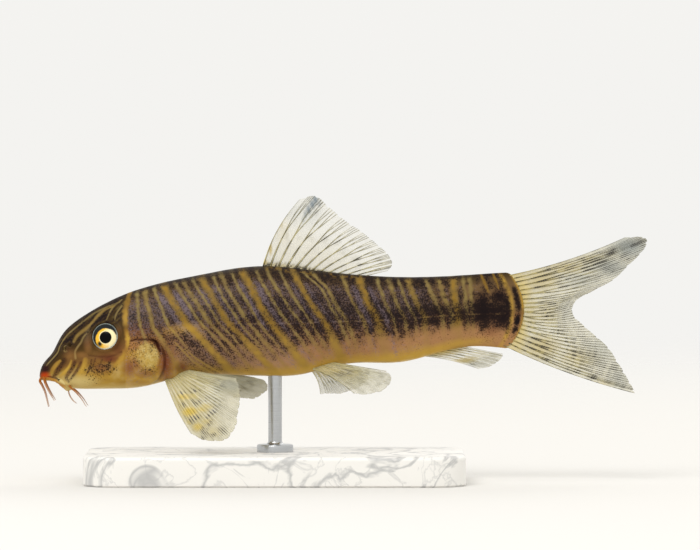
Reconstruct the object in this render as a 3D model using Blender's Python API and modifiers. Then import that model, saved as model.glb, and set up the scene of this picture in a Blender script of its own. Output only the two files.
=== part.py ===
"""Zebra loach, life size, as a still museum model that swims just above a small display stand.

The fish faces -X, +Z is up and its left side faces -Y. The origin is on the floor, under the middle
of the model's length. Lengths are written in millimetres along the fish: s runs back from the snout,
y runs to the fish's right and h is the height over the tip of the snout. place() turns them into
metres in the model's frame.
"""

import math

import bmesh
import bpy
import numpy as np
from mathutils import Matrix, Vector

MM = 0.001
GAP = 0.3
SIDES = {"left": -1.0, "right": 1.0}

# Where the fish hangs: the model's middle and its rod are this far behind the snout, and the
# snout's tip is this high above the floor, which lets the lowest fin clear the base.
MIDDLE_S = 39.87
ROD_S = 31.0
SNOUT_HEIGHT = 13.6

# Body outline seen from the side and from above: distance behind the snout, then the value there.
BODY_END = 61.3
TOP_LINE = (
    (0.0, 0.35), (0.43, 1.92), (1.08, 2.75), (1.92, 3.87), (2.47, 4.97), (3.12, 6.05), (4.22, 7.18),
    (7.0, 9.05), (11.6, 11.3), (16.7, 12.8), (22.1, 13.9), (29.3, 14.85), (36.9, 14.2), (44.3, 13.55),
    (53.0, 13.5), (58.5, 13.85), (BODY_END, 14.0),
)
BOTTOM_LINE = (
    (0.0, 0.35), (0.5, -0.2), (1.8, -0.35), (3.2, -0.95), (4.8, -1.25), (7.0, -1.3), (10.3, -1.26),
    (14.2, -0.87), (17.5, 0.0), (21.0, 0.55), (26.7, 0.5), (31.3, 0.4), (35.0, 0.72), (38.2, 1.6),
    (42.5, 2.15), (48.0, 2.3), (52.0, 3.35), (57.0, 4.3), (BODY_END, 4.05),
)
HALF_WIDTHS = (
    (0.0, 0.0), (0.4, 0.95), (1.0, 1.4), (2.0, 1.9), (4.0, 2.55), (8.6, 3.5), (13.0, 4.2), (20.0, 4.7),
    (28.0, 4.65), (36.0, 4.05), (44.0, 3.15), (52.0, 2.25), (58.0, 1.5), (BODY_END, 0.55),
)
# Height of the widest point, as a share of the depth, and how square the halves above and below are.
WIDEST_SHARE = ((0.0, 0.45), (4.0, 0.38), (10.0, 0.4), (20.0, 0.46), (40.0, 0.5), (BODY_END, 0.5))
UPPER_SQUARENESS = ((0.0, 2.0), (8.0, 1.9), (20.0, 2.0), (45.0, 2.15), (BODY_END, 2.3))
LOWER_SQUARENESS = ((0.0, 2.0), (5.0, 2.3), (14.0, 2.4), (30.0, 2.2), (BODY_END, 2.2))
TAIL_ROUNDING = 1.7
TAIL_ROUNDING_STARTS = 55.0
BODY_RINGS = 50
BODY_FACETS = 36

# The head ends at the gill opening, and the tail stalk starts just ahead of the anal fin.
GILL_LINE = (
    (13.4, 15.0), (13.7, 9.0), (14.3, 6.2), (15.7, 5.0), (16.6, 3.2), (16.5, 1.4), (15.8, 0.0),
    (14.6, -0.9), (14.2, -3.0),
)
TAIL_CUT = ((47.2, 16.0), (48.4, 8.0), (48.0, 0.0))
CUT_REACH = 8.0

# Gill cover: a plate that stands a little proud of the cheek.
COVER_CENTRE = (13.55, 2.45)
COVER_HALF_LENGTH = 2.7
COVER_HALF_HEIGHT = 2.95
COVER_INNER_Y = 1.5
COVER_PROUD = 0.2
COVER_DEPTH = 0.6
COVER_POINTS = 28

EYE_CENTRE = (8.6, 5.55)
EYE_RADIUS = 1.74
EYE_HALF_DEPTH = 1.0
EYE_SUNK = 0.5
ORBIT_RIM = 0.22
RIM_OUT = 0.4
NOSTRILS = ((3.35, 4.05), (4.1, 4.5))
NOSTRIL_RADIUS = 0.3

# Lips and mouth line, from one corner to near the midline, where their mirrored halves join.
UPPER_LIP = ((4.3, 1.2, -0.3), (3.6, 1.55, -0.62), (2.7, 1.3, -0.28), (1.75, 0.65, -0.1))
LOWER_LIP = ((4.4, 0.9, -0.7), (3.7, 1.2, -1.0), (3.1, 0.9, -1.02), (2.8, 0.35, -1.0))
MOUTH_LINE = ((4.2, 1.45, -0.95), (3.4, 1.5, -0.85), (2.5, 1.0, -0.62), (2.0, 0.4, -0.5))
LIP_RADII = (0.16, 0.34, 0.36, 0.34, 0.16)
MOUTH_LINE_RADII = (0.06, 0.14, 0.16, 0.14, 0.06)
LIP_POINTS = 13
CHIN_LOBE = (3.65, 0.52, -1.2)
CHIN_LOBE_RADII = (0.78, 0.46, 0.46)

# Fins: rays from the leading edge back, as ridges in the faces of the membrane. A fin's root line
# lies inside the body and is then cut back to the gap. A tip row is s, y, h.
FIN_ROOT_SUNK = 0.55
MEMBRANE_THICK = 0.5
RAY_THICK = 0.78
FIRST_RAY_THICK = 0.9
ROOT_THICKER = 0.3
ROOT_THICKER_REACH = 0.35
TIP_THICKNESS_SHARE = 0.7
MARGIN_NOTCH = 0.03
FIN_ROWS = 7

DORSAL_RAYS = 11
DORSAL_ROOT = (29.4, 41.4)
DORSAL_BOW = (0.7, 0.0)
DORSAL_TIPS = (
    (34.6, 0.0, 23.6), (36.3, 0.1, 24.1), (38.2, 0.2, 22.6), (40.3, 0.3, 20.8), (42.2, 0.4, 19.6),
    (43.8, 0.5, 18.3), (45.3, 0.5, 17.0), (46.2, 0.5, 15.9), (46.4, 0.4, 15.0), (45.9, 0.3, 14.25),
)

TAIL_RAYS = 19
TAIL_TIPS = (
    (80.0, 0.9, 18.4), (79.4, 0.8, 17.3), (77.7, 0.7, 15.2), (76.1, 0.6, 13.2), (74.1, 0.4, 12.0),
    (71.9, 0.2, 11.2), (71.0, 0.1, 10.4), (70.2, 0.0, 9.1), (71.1, 0.0, 7.9), (73.3, -0.1, 5.7),
    (74.9, -0.3, 4.2), (75.7, -0.4, 2.6), (76.6, -0.6, 1.0), (77.4, -0.7, -0.4), (78.3, -0.8, -1.8),
)
TAIL_BOW = (0.35, -0.5)

ANAL_RAYS = 8
ANAL_ROOT = (49.2, 54.6)
ANAL_TIPS = ((57.8, 0.2, 1.3), (59.2, 0.25, 1.6), (60.2, 0.25, 2.2), (60.9, 0.2, 2.8), (61.0, 0.2, 3.3))
ANAL_BOW = (-0.35, 0.0)

PECTORAL_RAYS = 11
PECTORAL_ROOT = ((16.55, -0.05), (18.9, 1.0))
PECTORAL_TIPS = {
    "left": (
        (20.1, -7.3, -6.85), (22.3, -8.0, -7.75), (24.5, -8.1, -7.6), (25.7, -7.6, -6.2),
        (26.1, -7.0, -4.4), (26.4, -6.4, -2.6), (26.3, -5.7, -1.0), (26.0, -5.1, 0.3),
    ),
    "right": (
        (25.2, 9.9, -1.7), (27.6, 9.6, -1.6), (29.2, 8.6, -1.3), (29.8, 7.4, -1.0),
        (29.4, 6.2, -0.7), (28.2, 5.2, -0.4), (26.3, 4.6, -0.2),
    ),
}
PECTORAL_BOW = {"left": (0.35, 0.0), "right": (-1.0, 0.0)}

PELVIC_RAYS = 8
PELVIC_ROOT = ((35.4, 1.15), (37.7, 1.95))
PELVIC_TIPS = {
    "left": (
        (41.4, -5.6, -1.7), (43.4, -5.4, -1.75), (45.0, -4.8, -1.35), (46.0, -4.1, -0.6),
        (46.2, -3.5, 0.3), (45.3, -2.9, 1.0),
    ),
    "right": (
        (36.9, 8.3, -2.3), (38.9, 8.1, -2.3), (40.9, 7.2, -1.9), (42.3, 6.1, -1.2),
        (43.2, 5.0, -0.3), (43.2, 4.0, 0.5),
    ),
}
PELVIC_BOW = (-0.4, 0.0)

# Barbels: paths of s, y away from the midline, h. The two on each side of the snout share a root.
SNOUT_BARBEL_ROOT = (0.42, 0.78, 0.28)
SNOUT_BARBEL_ROOT_RADIUS = 0.42
SNOUT_BARBELS = (
    ((0.45, 0.72, 0.4), (0.0, 0.75, -0.25), (0.4, 0.9, -1.3), (0.75, 1.05, -2.3), (1.1, 1.25, -3.6)),
    ((0.6, 0.95, 0.3), (0.75, 1.2, -0.75), (1.3, 1.6, -1.8), (2.0, 2.0, -2.75)),
)
CORNER_BARBEL = (
    (4.2, 1.5, -0.5), (4.45, 2.05, -1.2), (5.1, 2.4, -1.95), (5.7, 2.7, -2.75), (6.15, 2.9, -3.5),
)
CHIN_BARBEL = ((3.75, 0.6, -1.3), (3.9, 0.7, -2.0), (4.3, 0.85, -2.7), (4.85, 0.95, -3.2))
BARBEL_RADII = (0.29, 0.25, 0.2, 0.1)

STAND_X = ROD_S - MIDDLE_S
BASE_LENGTH = 50.0
BASE_WIDTH = 26.0
BASE_HEIGHT = 4.0
BASE_CORNER = 5.0
BASE_CHAMFER = 0.6
ROD_RADIUS = 0.9
ROD_FLANGE_RADIUS = 2.4
ROD_FLANGE_HEIGHT = 0.7
ROD_PEG_DEPTH = 2.0
ROD_INTO_BELLY = 1.6

SKIN = ("striped_skin", (0.36, 0.22, 0.09), 0.35, 0.0)
GILL_GOLD = ("gill_cover_gold", (0.55, 0.4, 0.12), 0.3, 0.1)
FIN = ("fin_membrane", (0.8, 0.76, 0.6), 0.35, 0.0)
EYE = ("eye_gold", (0.75, 0.52, 0.12), 0.08, 0.2)
BARBEL = ("barbel_skin", (0.7, 0.3, 0.12), 0.4, 0.0)
MARBLE = ("honed_marble", (0.86, 0.85, 0.82), 0.4, 0.0)
STEEL = ("brushed_steel", (0.6, 0.6, 0.6), 0.3, 1.0)


def place(s, y, h):
    """A point on the fish, in metres in the model's frame."""
    return Vector((s - MIDDLE_S, y, h + SNOUT_HEIGHT)) * MM


def smooth_line(rows):
    """A natural cubic through rows of distance and value.

    It runs in the square root of the distance, so a line that starts at the snout starts round.
    """
    at = np.sqrt([row[0] for row in rows])
    value = np.array([row[1] for row in rows])
    step = np.diff(at)
    slope = np.diff(value) / step
    count = len(rows)
    system = np.eye(count)
    bend_terms = np.zeros(count)
    for i in range(1, count - 1):
        system[i, i - 1 : i + 2] = step[i - 1], 2 * (step[i - 1] + step[i]), step[i]
        bend_terms[i] = 6 * (slope[i] - slope[i - 1])
    bend = np.linalg.solve(system, bend_terms)

    def line(distance):
        x = math.sqrt(max(distance, 0.0))
        i = int(np.clip(np.searchsorted(at, x) - 1, 0, count - 2))
        width = step[i]
        a = (at[i + 1] - x) / width
        b = 1.0 - a
        curved = ((a**3 - a) * bend[i] + (b**3 - b) * bend[i + 1]) * width**2 / 6
        return float(a * value[i] + b * value[i + 1] + curved)

    return line


top_line = smooth_line(TOP_LINE)
bottom_line = smooth_line(BOTTOM_LINE)
half_width = smooth_line(HALF_WIDTHS)
widest_share = smooth_line(WIDEST_SHARE)
upper_squareness = smooth_line(UPPER_SQUARENESS)
lower_squareness = smooth_line(LOWER_SQUARENESS)


def signed_power(base, power):
    return math.copysign(abs(base) ** power, base)


def body_point(s, angle, grow=0.0):
    """A point of the skin. The angle runs from the back, 0, by the left flank to the belly, pi."""
    inside = max(s, 0.0)
    top = top_line(inside) + grow
    bottom = bottom_line(inside) - grow
    wide = max(half_width(inside), 0.0) + grow
    middle = bottom + widest_share(inside) * (top - bottom)
    across, up = math.sin(angle), math.cos(angle)
    power = 2.0 / (upper_squareness(inside) if up > 0 else lower_squareness(inside))
    reach = top - middle if up > 0 else middle - bottom
    h = middle + reach * signed_power(up, power)
    y = -wide * signed_power(across, power)
    rounding = max(0.0, inside - TAIL_ROUNDING_STARTS) / (BODY_END - TAIL_ROUNDING_STARTS)
    off_centre = (h - (top + bottom) / 2) / ((top - bottom) / 2)
    return s + TAIL_ROUNDING * rounding**2 * (1.0 - off_centre**2), y, h


def flank_width(s, h):
    """Half the body's width at a height."""
    top, bottom = top_line(s), bottom_line(s)
    middle = bottom + widest_share(s) * (top - bottom)
    reach, squareness = (
        (top - middle, upper_squareness(s)) if h > middle else (middle - bottom, lower_squareness(s))
    )
    level = min(abs(h - middle) / reach, 1.0)
    return half_width(s) * (1.0 - level**squareness) ** (1.0 / squareness)


def flank_normal(s, h, side):
    """The direction out of the flank at a point of it, as s, y, h."""
    step = 0.05
    along = flank_width(s + step, h) - flank_width(s - step, h)
    up = flank_width(s, h + step) - flank_width(s, h - step)
    return Vector((-along, side * 2 * step, -up)).normalized()


def new_object(name, bm, collection):
    """An object made from a closed mesh, with its faces turned outwards."""
    bmesh.ops.recalc_face_normals(bm, faces=bm.faces)
    if bm.calc_volume(signed=True) < 0:
        bmesh.ops.reverse_faces(bm, faces=bm.faces)
    mesh = bpy.data.meshes.new(name)
    bm.to_mesh(mesh)
    bm.free()
    made = bpy.data.objects.new(name, mesh)
    collection.objects.link(made)
    return made


def body_loft(name, collection, grow=0.0):
    """The whole body from snout to tail root as one closed skin, grown outwards by a distance."""
    bm = bmesh.new()
    nose = bm.verts.new(place(-grow, 0.0, top_line(0.0)))
    rings = []
    for i in range(1, BODY_RINGS + 1):
        s = BODY_END * (i / BODY_RINGS) ** 2
        s = s if i < BODY_RINGS else s + grow
        angles = [2 * math.pi * k / BODY_FACETS for k in range(BODY_FACETS)]
        rings.append([bm.verts.new(place(*body_point(s, angle, grow))) for angle in angles])
    for k in range(BODY_FACETS):
        after = (k + 1) % BODY_FACETS
        bm.faces.new((nose, rings[0][k], rings[0][after]))
        for ring, following in zip(rings, rings[1:]):
            bm.faces.new((ring[k], following[k], following[after], ring[after]))
    end = rings[-1]
    for k in range(BODY_FACETS // 2):
        left, right = end[k : k + 2], [end[-k], end[-k - 1]]
        corners = dict.fromkeys((left[0], right[0], right[1], left[1]))
        if len(corners) > 2:
            bm.faces.new(corners)
    bmesh.ops.triangulate(bm, faces=bm.faces)
    return new_object(name, bm, collection)


def cut_sheet(name, rows, collection):
    """A thin curved wall across the body, seen from the side as a smooth line through rows."""
    line = [spaced_curve(rows, i / 24) for i in range(25)]
    bm = bmesh.new()
    edges = [[bm.verts.new(place(s, y, h)) for s, h in line] for y in (-CUT_REACH, CUT_REACH)]
    for i in range(len(line) - 1):
        bm.faces.new((edges[0][i], edges[0][i + 1], edges[1][i + 1], edges[1][i]))
    sheet = new_object(name, bm, collection)
    thicken = sheet.modifiers.new("thickness", "SOLIDIFY")
    thicken.thickness = GAP * MM
    thicken.offset = 0.0
    return baked(sheet)


def spaced_curve(rows, share):
    """The point at a share of the way along a Catmull-Rom curve through rows of numbers."""
    rows = np.array(rows)
    position = share * (len(rows) - 1)
    i = min(int(position), len(rows) - 2)
    t = position - i
    before = rows[i - 1] if i > 0 else 2 * rows[i] - rows[i + 1]
    after = rows[i + 2] if i + 2 < len(rows) else 2 * rows[i + 1] - rows[i]
    a = 2 * rows[i]
    b = rows[i + 1] - before
    c = 2 * before - 5 * rows[i] + 4 * rows[i + 1] - after
    d = -before + 3 * rows[i] - 3 * rows[i + 1] + after
    return 0.5 * (a + b * t + c * t**2 + d * t**3)


def baked(obj):
    """The object with its modifiers applied, or its curve made a mesh with welded caps."""
    graph = bpy.context.evaluated_depsgraph_get()
    mesh = bpy.data.meshes.new_from_object(obj.evaluated_get(graph))
    if obj.type != "MESH":
        name, home, old = obj.name, obj.users_collection[0], obj
        obj = bpy.data.objects.new("welded", mesh)
        obj.matrix_world = old.matrix_world
        home.objects.link(obj)
        bpy.data.objects.remove(old)
        obj.name = name
    else:
        obj.modifiers.clear()
        obj.data = mesh
    bm = bmesh.new()
    bm.from_mesh(mesh)
    bmesh.ops.remove_doubles(bm, verts=bm.verts, dist=1e-3 * MM)
    bmesh.ops.triangulate(bm, faces=bm.faces)
    bm.to_mesh(mesh)
    bm.free()
    return obj


def boolean(target, operation, tools, solver="EXACT"):
    """One Boolean between the target and all the tools, applied. The tools are used up."""
    held = bpy.data.collections.new("tools")
    bpy.context.scene.collection.children.link(held)
    for tool in tools:
        for home in list(tool.users_collection):
            home.objects.unlink(tool)
        held.objects.link(tool)
    change = target.modifiers.new(operation.lower(), "BOOLEAN")
    change.operation = operation
    change.operand_type = "COLLECTION"
    change.collection = held
    change.solver = solver
    baked(target)
    for tool in list(held.objects):
        bpy.data.objects.remove(tool)
    bpy.data.collections.remove(held)
    return target


def islands(bm):
    """The connected pieces of a mesh, as lists of vertices."""
    left, found = set(bm.verts), []
    while left:
        reached, edge = set(), [left.pop()]
        while edge:
            vert = edge.pop()
            reached.add(vert)
            for link in vert.link_edges:
                other = link.other_vert(vert)
                if other in left:
                    left.discard(other)
                    edge.append(other)
        found.append(list(reached))
    return found


def island_volume(verts):
    faces = {face for vert in verts for face in vert.link_faces}
    return sum(f.verts[0].co.dot(f.verts[1].co.cross(f.verts[2].co)) for f in faces) / 6


def keep_largest(obj):
    """Drops loose scraps and sealed hollows, so that the node is one closed body."""
    bm = bmesh.new()
    bm.from_mesh(obj.data)
    pieces = sorted(islands(bm), key=island_volume)
    scraps = [vert for piece in pieces[:-1] for vert in piece]
    bmesh.ops.delete(bm, geom=scraps, context="VERTS")
    bm.to_mesh(obj.data)
    bm.free()
    return obj


def split_along_body(obj, names, collection):
    """Turns the pieces that the cuts leave into objects, named from the snout back."""
    bm = bmesh.new()
    bm.from_mesh(obj.data)
    pieces = sorted(islands(bm), key=island_volume)[-len(names) :]
    pieces.sort(key=lambda piece: sum(vert.co.x for vert in piece) / len(piece))
    kept = []
    for name, piece in zip(names, pieces):
        for vert in bm.verts:
            vert.tag = False
        for vert in piece:
            vert.tag = True
        part = bm.copy()
        bmesh.ops.delete(part, geom=[vert for vert in part.verts if not vert.tag], context="VERTS")
        kept.append(new_object(name, part, collection))
    bm.free()
    bpy.data.objects.remove(obj)
    return kept


def ellipsoid(name, centre, radii, collection, axis, segments, rings):
    """A closed ellipsoid in fish coordinates. Its third radius lies along the axis, if one is given."""
    bm = bmesh.new()
    bmesh.ops.create_uvsphere(bm, u_segments=segments, v_segments=rings, radius=1.0)
    turn = Vector((0, 0, 1)).rotation_difference(axis).to_matrix().to_4x4() if axis else Matrix()
    size = Matrix.Diagonal((*[r * MM for r in radii], 1.0))
    bm.transform(Matrix.Translation(place(*centre)) @ turn @ size)
    return new_object(name, bm, collection)


def tube(name, path, radii, collection, points=8):
    """An eight-sided tube along a smooth path of s, y, h, as a closed mesh. Its radii run along it."""
    curve = bpy.data.curves.new(name, "CURVE")
    curve.dimensions = "3D"
    curve.bevel_depth = MM
    curve.bevel_resolution = 2
    curve.use_fill_caps = True
    spline = curve.splines.new("POLY")
    spline.points.add(points - 1)
    for i, point in enumerate(spline.points):
        share = i / (points - 1)
        point.co = (*place(*spaced_curve(path, share)), 1.0)
        point.radius = spaced_curve(radii, share)
    made = bpy.data.objects.new(name, curve)
    collection.objects.link(made)
    bpy.context.view_layer.update()
    return baked(made)


def outline_prism(name, outline, y_from, y_to, collection):
    """A closed prism across the fish, from an outline of s, h points."""
    bm = bmesh.new()
    near = [bm.verts.new(place(s, y_from, h)) for s, h in outline]
    far = [bm.verts.new(place(s, y_to, h)) for s, h in outline]
    bm.faces.new(near)
    bm.faces.new(reversed(far))
    for k in range(len(outline)):
        after = (k + 1) % len(outline)
        bm.faces.new((near[k], far[k], far[after], near[after]))
    return new_object(name, bm, collection)


def cover_outline(grow=0.0, past_rear=0.0):
    """The gill cover from the side: an oval that is drawn back and down at its hind edge."""
    outline = []
    for k in range(COVER_POINTS):
        angle = 2 * math.pi * k / COVER_POINTS
        along, up = math.cos(angle), math.sin(angle)
        s = COVER_CENTRE[0] + (COVER_HALF_LENGTH + grow) * along + 0.35 * along * (1 - up)
        h = COVER_CENTRE[1] + (COVER_HALF_HEIGHT + grow) * up - 0.35 * (1 - along**2)
        outline.append((s + past_rear * max(along, 0.0), h))
    return outline


def gill_cover(side_name, helpers, parts):
    side = SIDES[side_name]
    inner, outer = side * COVER_INNER_Y, side * CUT_REACH
    prism = outline_prism("cover_prism", cover_outline(), inner, outer, helpers)
    core = body_loft("cover_core", helpers, -COVER_DEPTH)
    cover = body_loft(f"gill_cover_{side_name}", parts, COVER_PROUD)
    boolean(cover, "INTERSECT", [prism])
    boolean(cover, "DIFFERENCE", [core])
    return keep_largest(cover)


def cut_gill_recesses(head, helpers):
    """Sinks the cheek under each gill cover, open to the gill slit behind."""
    outline = cover_outline(GAP, past_rear=2.5)
    recesses = []
    for side in SIDES.values():
        inner, outer = side * (COVER_INNER_Y - GAP), side * CUT_REACH
        recess = outline_prism("recess", outline, inner, outer, helpers)
        core = body_loft("recess_core", helpers, -COVER_DEPTH - GAP)
        recesses.append(boolean(recess, "DIFFERENCE", [core]))
    return boolean(head, "DIFFERENCE", recesses)


def eye_place(side):
    """The middle of the eyeball and the way it looks out."""
    s, h = EYE_CENTRE
    out = flank_normal(s, h, side)
    centre = Vector((s, side * flank_width(s, h), h)) - out * EYE_SUNK
    return centre, out


def eyeball(name, side, grow, collection):
    centre, out = eye_place(side)
    across = EYE_RADIUS + grow
    radii = (across, across, EYE_HALF_DEPTH + grow)
    return ellipsoid(name, centre, radii, collection, out, 20, 9)


def orbit_rim(side, helpers):
    """The low fold of skin round the eye."""
    centre, out = eye_place(side)
    bpy.ops.mesh.primitive_torus_add(
        major_segments=24,
        minor_segments=6,
        major_radius=(EYE_RADIUS + GAP + ORBIT_RIM / 2) * MM,
        minor_radius=ORBIT_RIM * MM,
        location=place(*(centre + out * RIM_OUT)),
        rotation=out.to_track_quat("Z", "Y").to_euler(),
    )
    rim = bpy.context.object
    rim.data.transform(rim.matrix_world)
    rim.matrix_world = Matrix()
    for home in list(rim.users_collection):
        home.objects.unlink(rim)
    helpers.objects.link(rim)
    return rim


def mirrored_path(half):
    """A path round the mouth, from a half that runs from the corner to near the midline."""
    left = [(s, -y, h) for s, y, h in half]
    right = [(s, y, h) for s, y, h in reversed(half)]
    return left + right


def lips_and_chin(grow, helpers):
    """Both lips and the two lobes of the chin behind them, grown outwards by a distance."""
    radii = [radius + grow for radius in LIP_RADII]
    forms = [tube("lip", mirrored_path(half), radii, helpers, LIP_POINTS) for half in (UPPER_LIP, LOWER_LIP)]
    for side in SIDES.values():
        s, y, h = CHIN_LOBE
        radii = [radius + grow for radius in CHIN_LOBE_RADII]
        forms.append(ellipsoid("chin_lobe", (s, side * y, h), radii, helpers, None, 12, 7))
    return forms


def head_details(head, helpers):
    """Adds lips, chin and eye rims, and cuts the mouth line, eye sockets and nostrils."""
    added = lips_and_chin(0.0, helpers)
    cut = [tube("mouth_line", mirrored_path(MOUTH_LINE), MOUTH_LINE_RADII, helpers, LIP_POINTS)]
    for side in SIDES.values():
        added.append(orbit_rim(side, helpers))
        cut.append(eyeball("socket", side, GAP, helpers))
        for s, h in NOSTRILS:
            centre = (s, side * flank_width(s, h), h)
            out = flank_normal(s, h, side)
            radii = (NOSTRIL_RADIUS, NOSTRIL_RADIUS, NOSTRIL_RADIUS * 1.5)
            cut.append(ellipsoid("nostril", centre, radii, helpers, out, 10, 6))
    boolean(head, "UNION", added)
    boolean(head, "DIFFERENCE", cut)
    return keep_largest(head)


def fin_sheet(name, ray_count, roots, tips, bow, parts):
    """A fin as a thin curved sheet whose two faces are split into triangles alike.

    Its columns of points are by turns a ray, on a ridge, and the membrane halfway to the next one.
    roots and tips give a ray's ends from its share across the fin. bow is how far the first and
    last rays bend out of straight, at their middle, in the plane of the fin.
    """
    columns = 2 * ray_count - 1
    shares = np.linspace(0.0, 1.0, columns)
    on_ray = np.arange(columns) % 2 == 0
    centre = np.empty((columns, FIN_ROWS + 1, 3))
    for c, share in enumerate(shares):
        root, tip = Vector(roots(share)), Vector(tips(share))
        following = Vector(roots(min(share + 0.05, 1.0))) - Vector(roots(max(share - 0.05, 0.0)))
        along = tip - root
        outward = (following - along * following.dot(along) / along.length_squared).normalized()
        push = outward * -(bow[0] + (bow[1] - bow[0]) * share)
        reach = 1.0 if on_ray[c] else 1.0 - MARGIN_NOTCH
        for r in range(FIN_ROWS + 1):
            u = reach * r / FIN_ROWS
            centre[c, r] = root + along * u + push * 4 * u * (1 - u)
    across = np.gradient(centre, axis=0)
    outwards = np.gradient(centre, axis=1)
    normal = np.cross(across, outwards)
    normal /= np.linalg.norm(normal, axis=2, keepdims=True)
    outwards_share = np.linspace(0.0, 1.0, FIN_ROWS + 1)
    thick = np.where(on_ray, RAY_THICK, MEMBRANE_THICK)
    thick[0] = FIRST_RAY_THICK
    taper = 1 - (1 - TIP_THICKNESS_SHARE) * outwards_share**2
    near_root = np.clip(1 - outwards_share / ROOT_THICKER_REACH, 0, 1)
    thickness = thick[:, None] * taper + ROOT_THICKER * near_root
    shift = normal * thickness[:, :, None] / 2
    return sheet_between(name, centre - shift, centre + shift, parts)


def sheet_between(name, lower, upper, collection):
    """A closed sheet between two like grids of points, with the same diagonals on both."""
    bm = bmesh.new()
    count, rows = lower.shape[:2]
    under = [[bm.verts.new(place(*lower[c, r])) for r in range(rows)] for c in range(count)]
    over = [[bm.verts.new(place(*upper[c, r])) for r in range(rows)] for c in range(count)]
    for c in range(count - 1):
        for r in range(rows - 1):
            for grid in (under, over):
                a, b = grid[c][r], grid[c + 1][r]
                d, e = grid[c][r + 1], grid[c + 1][r + 1]
                bm.faces.new((a, b, e))
                bm.faces.new((a, e, d))
    border = [(c, 0) for c in range(count)] + [(count - 1, r) for r in range(1, rows)]
    border += [(c, rows - 1) for c in range(count - 2, -1, -1)] + [(0, r) for r in range(rows - 2, 0, -1)]
    for (c, r), (c2, r2) in zip(border, border[1:] + border[:1]):
        bm.faces.new((under[c][r], under[c2][r2], over[c2][r2]))
        bm.faces.new((under[c][r], over[c2][r2], over[c][r]))
    return new_object(name, bm, collection)


def trimmed(obj, helpers, by_mouth=False):
    """Cuts an object back to the gap outside the body, and outside the lips if it is by them."""
    tools = [body_loft("trimmer", helpers, GAP)]
    if by_mouth:
        tools += lips_and_chin(GAP, helpers)
    boolean(obj, "DIFFERENCE", tools, "MANIFOLD")
    return keep_largest(obj)


def midline_fins(helpers, parts):
    def on_line(line, ends, sunk):
        return lambda share: (
            ends[0] + (ends[1] - ends[0]) * share,
            0.0,
            line(ends[0] + (ends[1] - ends[0]) * share) + sunk,
        )

    def tips_of(rows):
        return lambda share: spaced_curve(rows, share)

    back = on_line(top_line, DORSAL_ROOT, -FIN_ROOT_SUNK)
    fin_sheet("dorsal_fin", DORSAL_RAYS, back, tips_of(DORSAL_TIPS), DORSAL_BOW, parts)
    belly = on_line(bottom_line, ANAL_ROOT, FIN_ROOT_SUNK)
    fin_sheet("anal_fin", ANAL_RAYS, belly, tips_of(ANAL_TIPS), ANAL_BOW, parts)

    def tail_root(share):
        """The end of the body seen from the side, from its upper corner to its lower one."""
        off_centre = 1 - 2 * share
        top, bottom = top_line(BODY_END) - 0.25, bottom_line(BODY_END) + 0.25
        height = (top + bottom) / 2 + off_centre * (top - bottom) / 2
        return BODY_END + TAIL_ROUNDING * (1 - off_centre**2) - FIN_ROOT_SUNK, 0.0, height

    fin_sheet("tail_fin", TAIL_RAYS, tail_root, tips_of(TAIL_TIPS), TAIL_BOW, parts)
    for name in ("dorsal_fin", "anal_fin", "tail_fin"):
        trimmed(bpy.data.objects[name], helpers)


def paired_fin(name, side, rays, root_ends, tips, bow, helpers, parts):
    """A fin on one flank, with its root on the skin between two side-view points."""

    def root(share):
        s = root_ends[0][0] + (root_ends[1][0] - root_ends[0][0]) * share
        h = root_ends[0][1] + (root_ends[1][1] - root_ends[0][1]) * share
        skin = Vector((s, side * flank_width(s, h), h))
        return skin - flank_normal(s, h, side) * FIN_ROOT_SUNK

    fin_sheet(name, rays, root, lambda share: spaced_curve(tips, share), bow, parts)
    return trimmed(bpy.data.objects[name], helpers)


def barbels(side_name, helpers, parts):
    side = SIDES[side_name]

    def sided(path):
        return [(s, side * y, h) for s, y, h in path]

    first, second = (tube("snout_barbel", sided(path), BARBEL_RADII, helpers) for path in SNOUT_BARBELS)
    s, y, h = SNOUT_BARBEL_ROOT
    radii = (SNOUT_BARBEL_ROOT_RADIUS,) * 3
    pair = ellipsoid(f"snout_barbels_{side_name}", (s, side * y, h), radii, parts, None, 10, 6)
    boolean(pair, "UNION", [first, second])
    trimmed(pair, helpers, by_mouth=True)
    for place_name, path in (("corner", CORNER_BARBEL), ("chin", CHIN_BARBEL)):
        name = f"{place_name}_barbel_{side_name}"
        trimmed(tube(name, sided(path), BARBEL_RADII, parts), helpers, by_mouth=True)


def turned(name, profile, parts):
    """A round piece on the rod's axis, from a profile of radius and height that runs down its side."""
    bm = bmesh.new()
    points = [bm.verts.new(Vector((radius, 0.0, height)) * MM) for radius, height in profile]
    for a, b in zip(points, points[1:]):
        bm.edges.new((a, b))
    made = new_object(name, bm, parts)
    made.location.x = STAND_X * MM
    spin = made.modifiers.new("turn", "SCREW")
    spin.steps = spin.render_steps = 24
    spin.use_merge_vertices = True
    spin.merge_threshold = 1e-3 * MM
    return baked(made)


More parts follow.
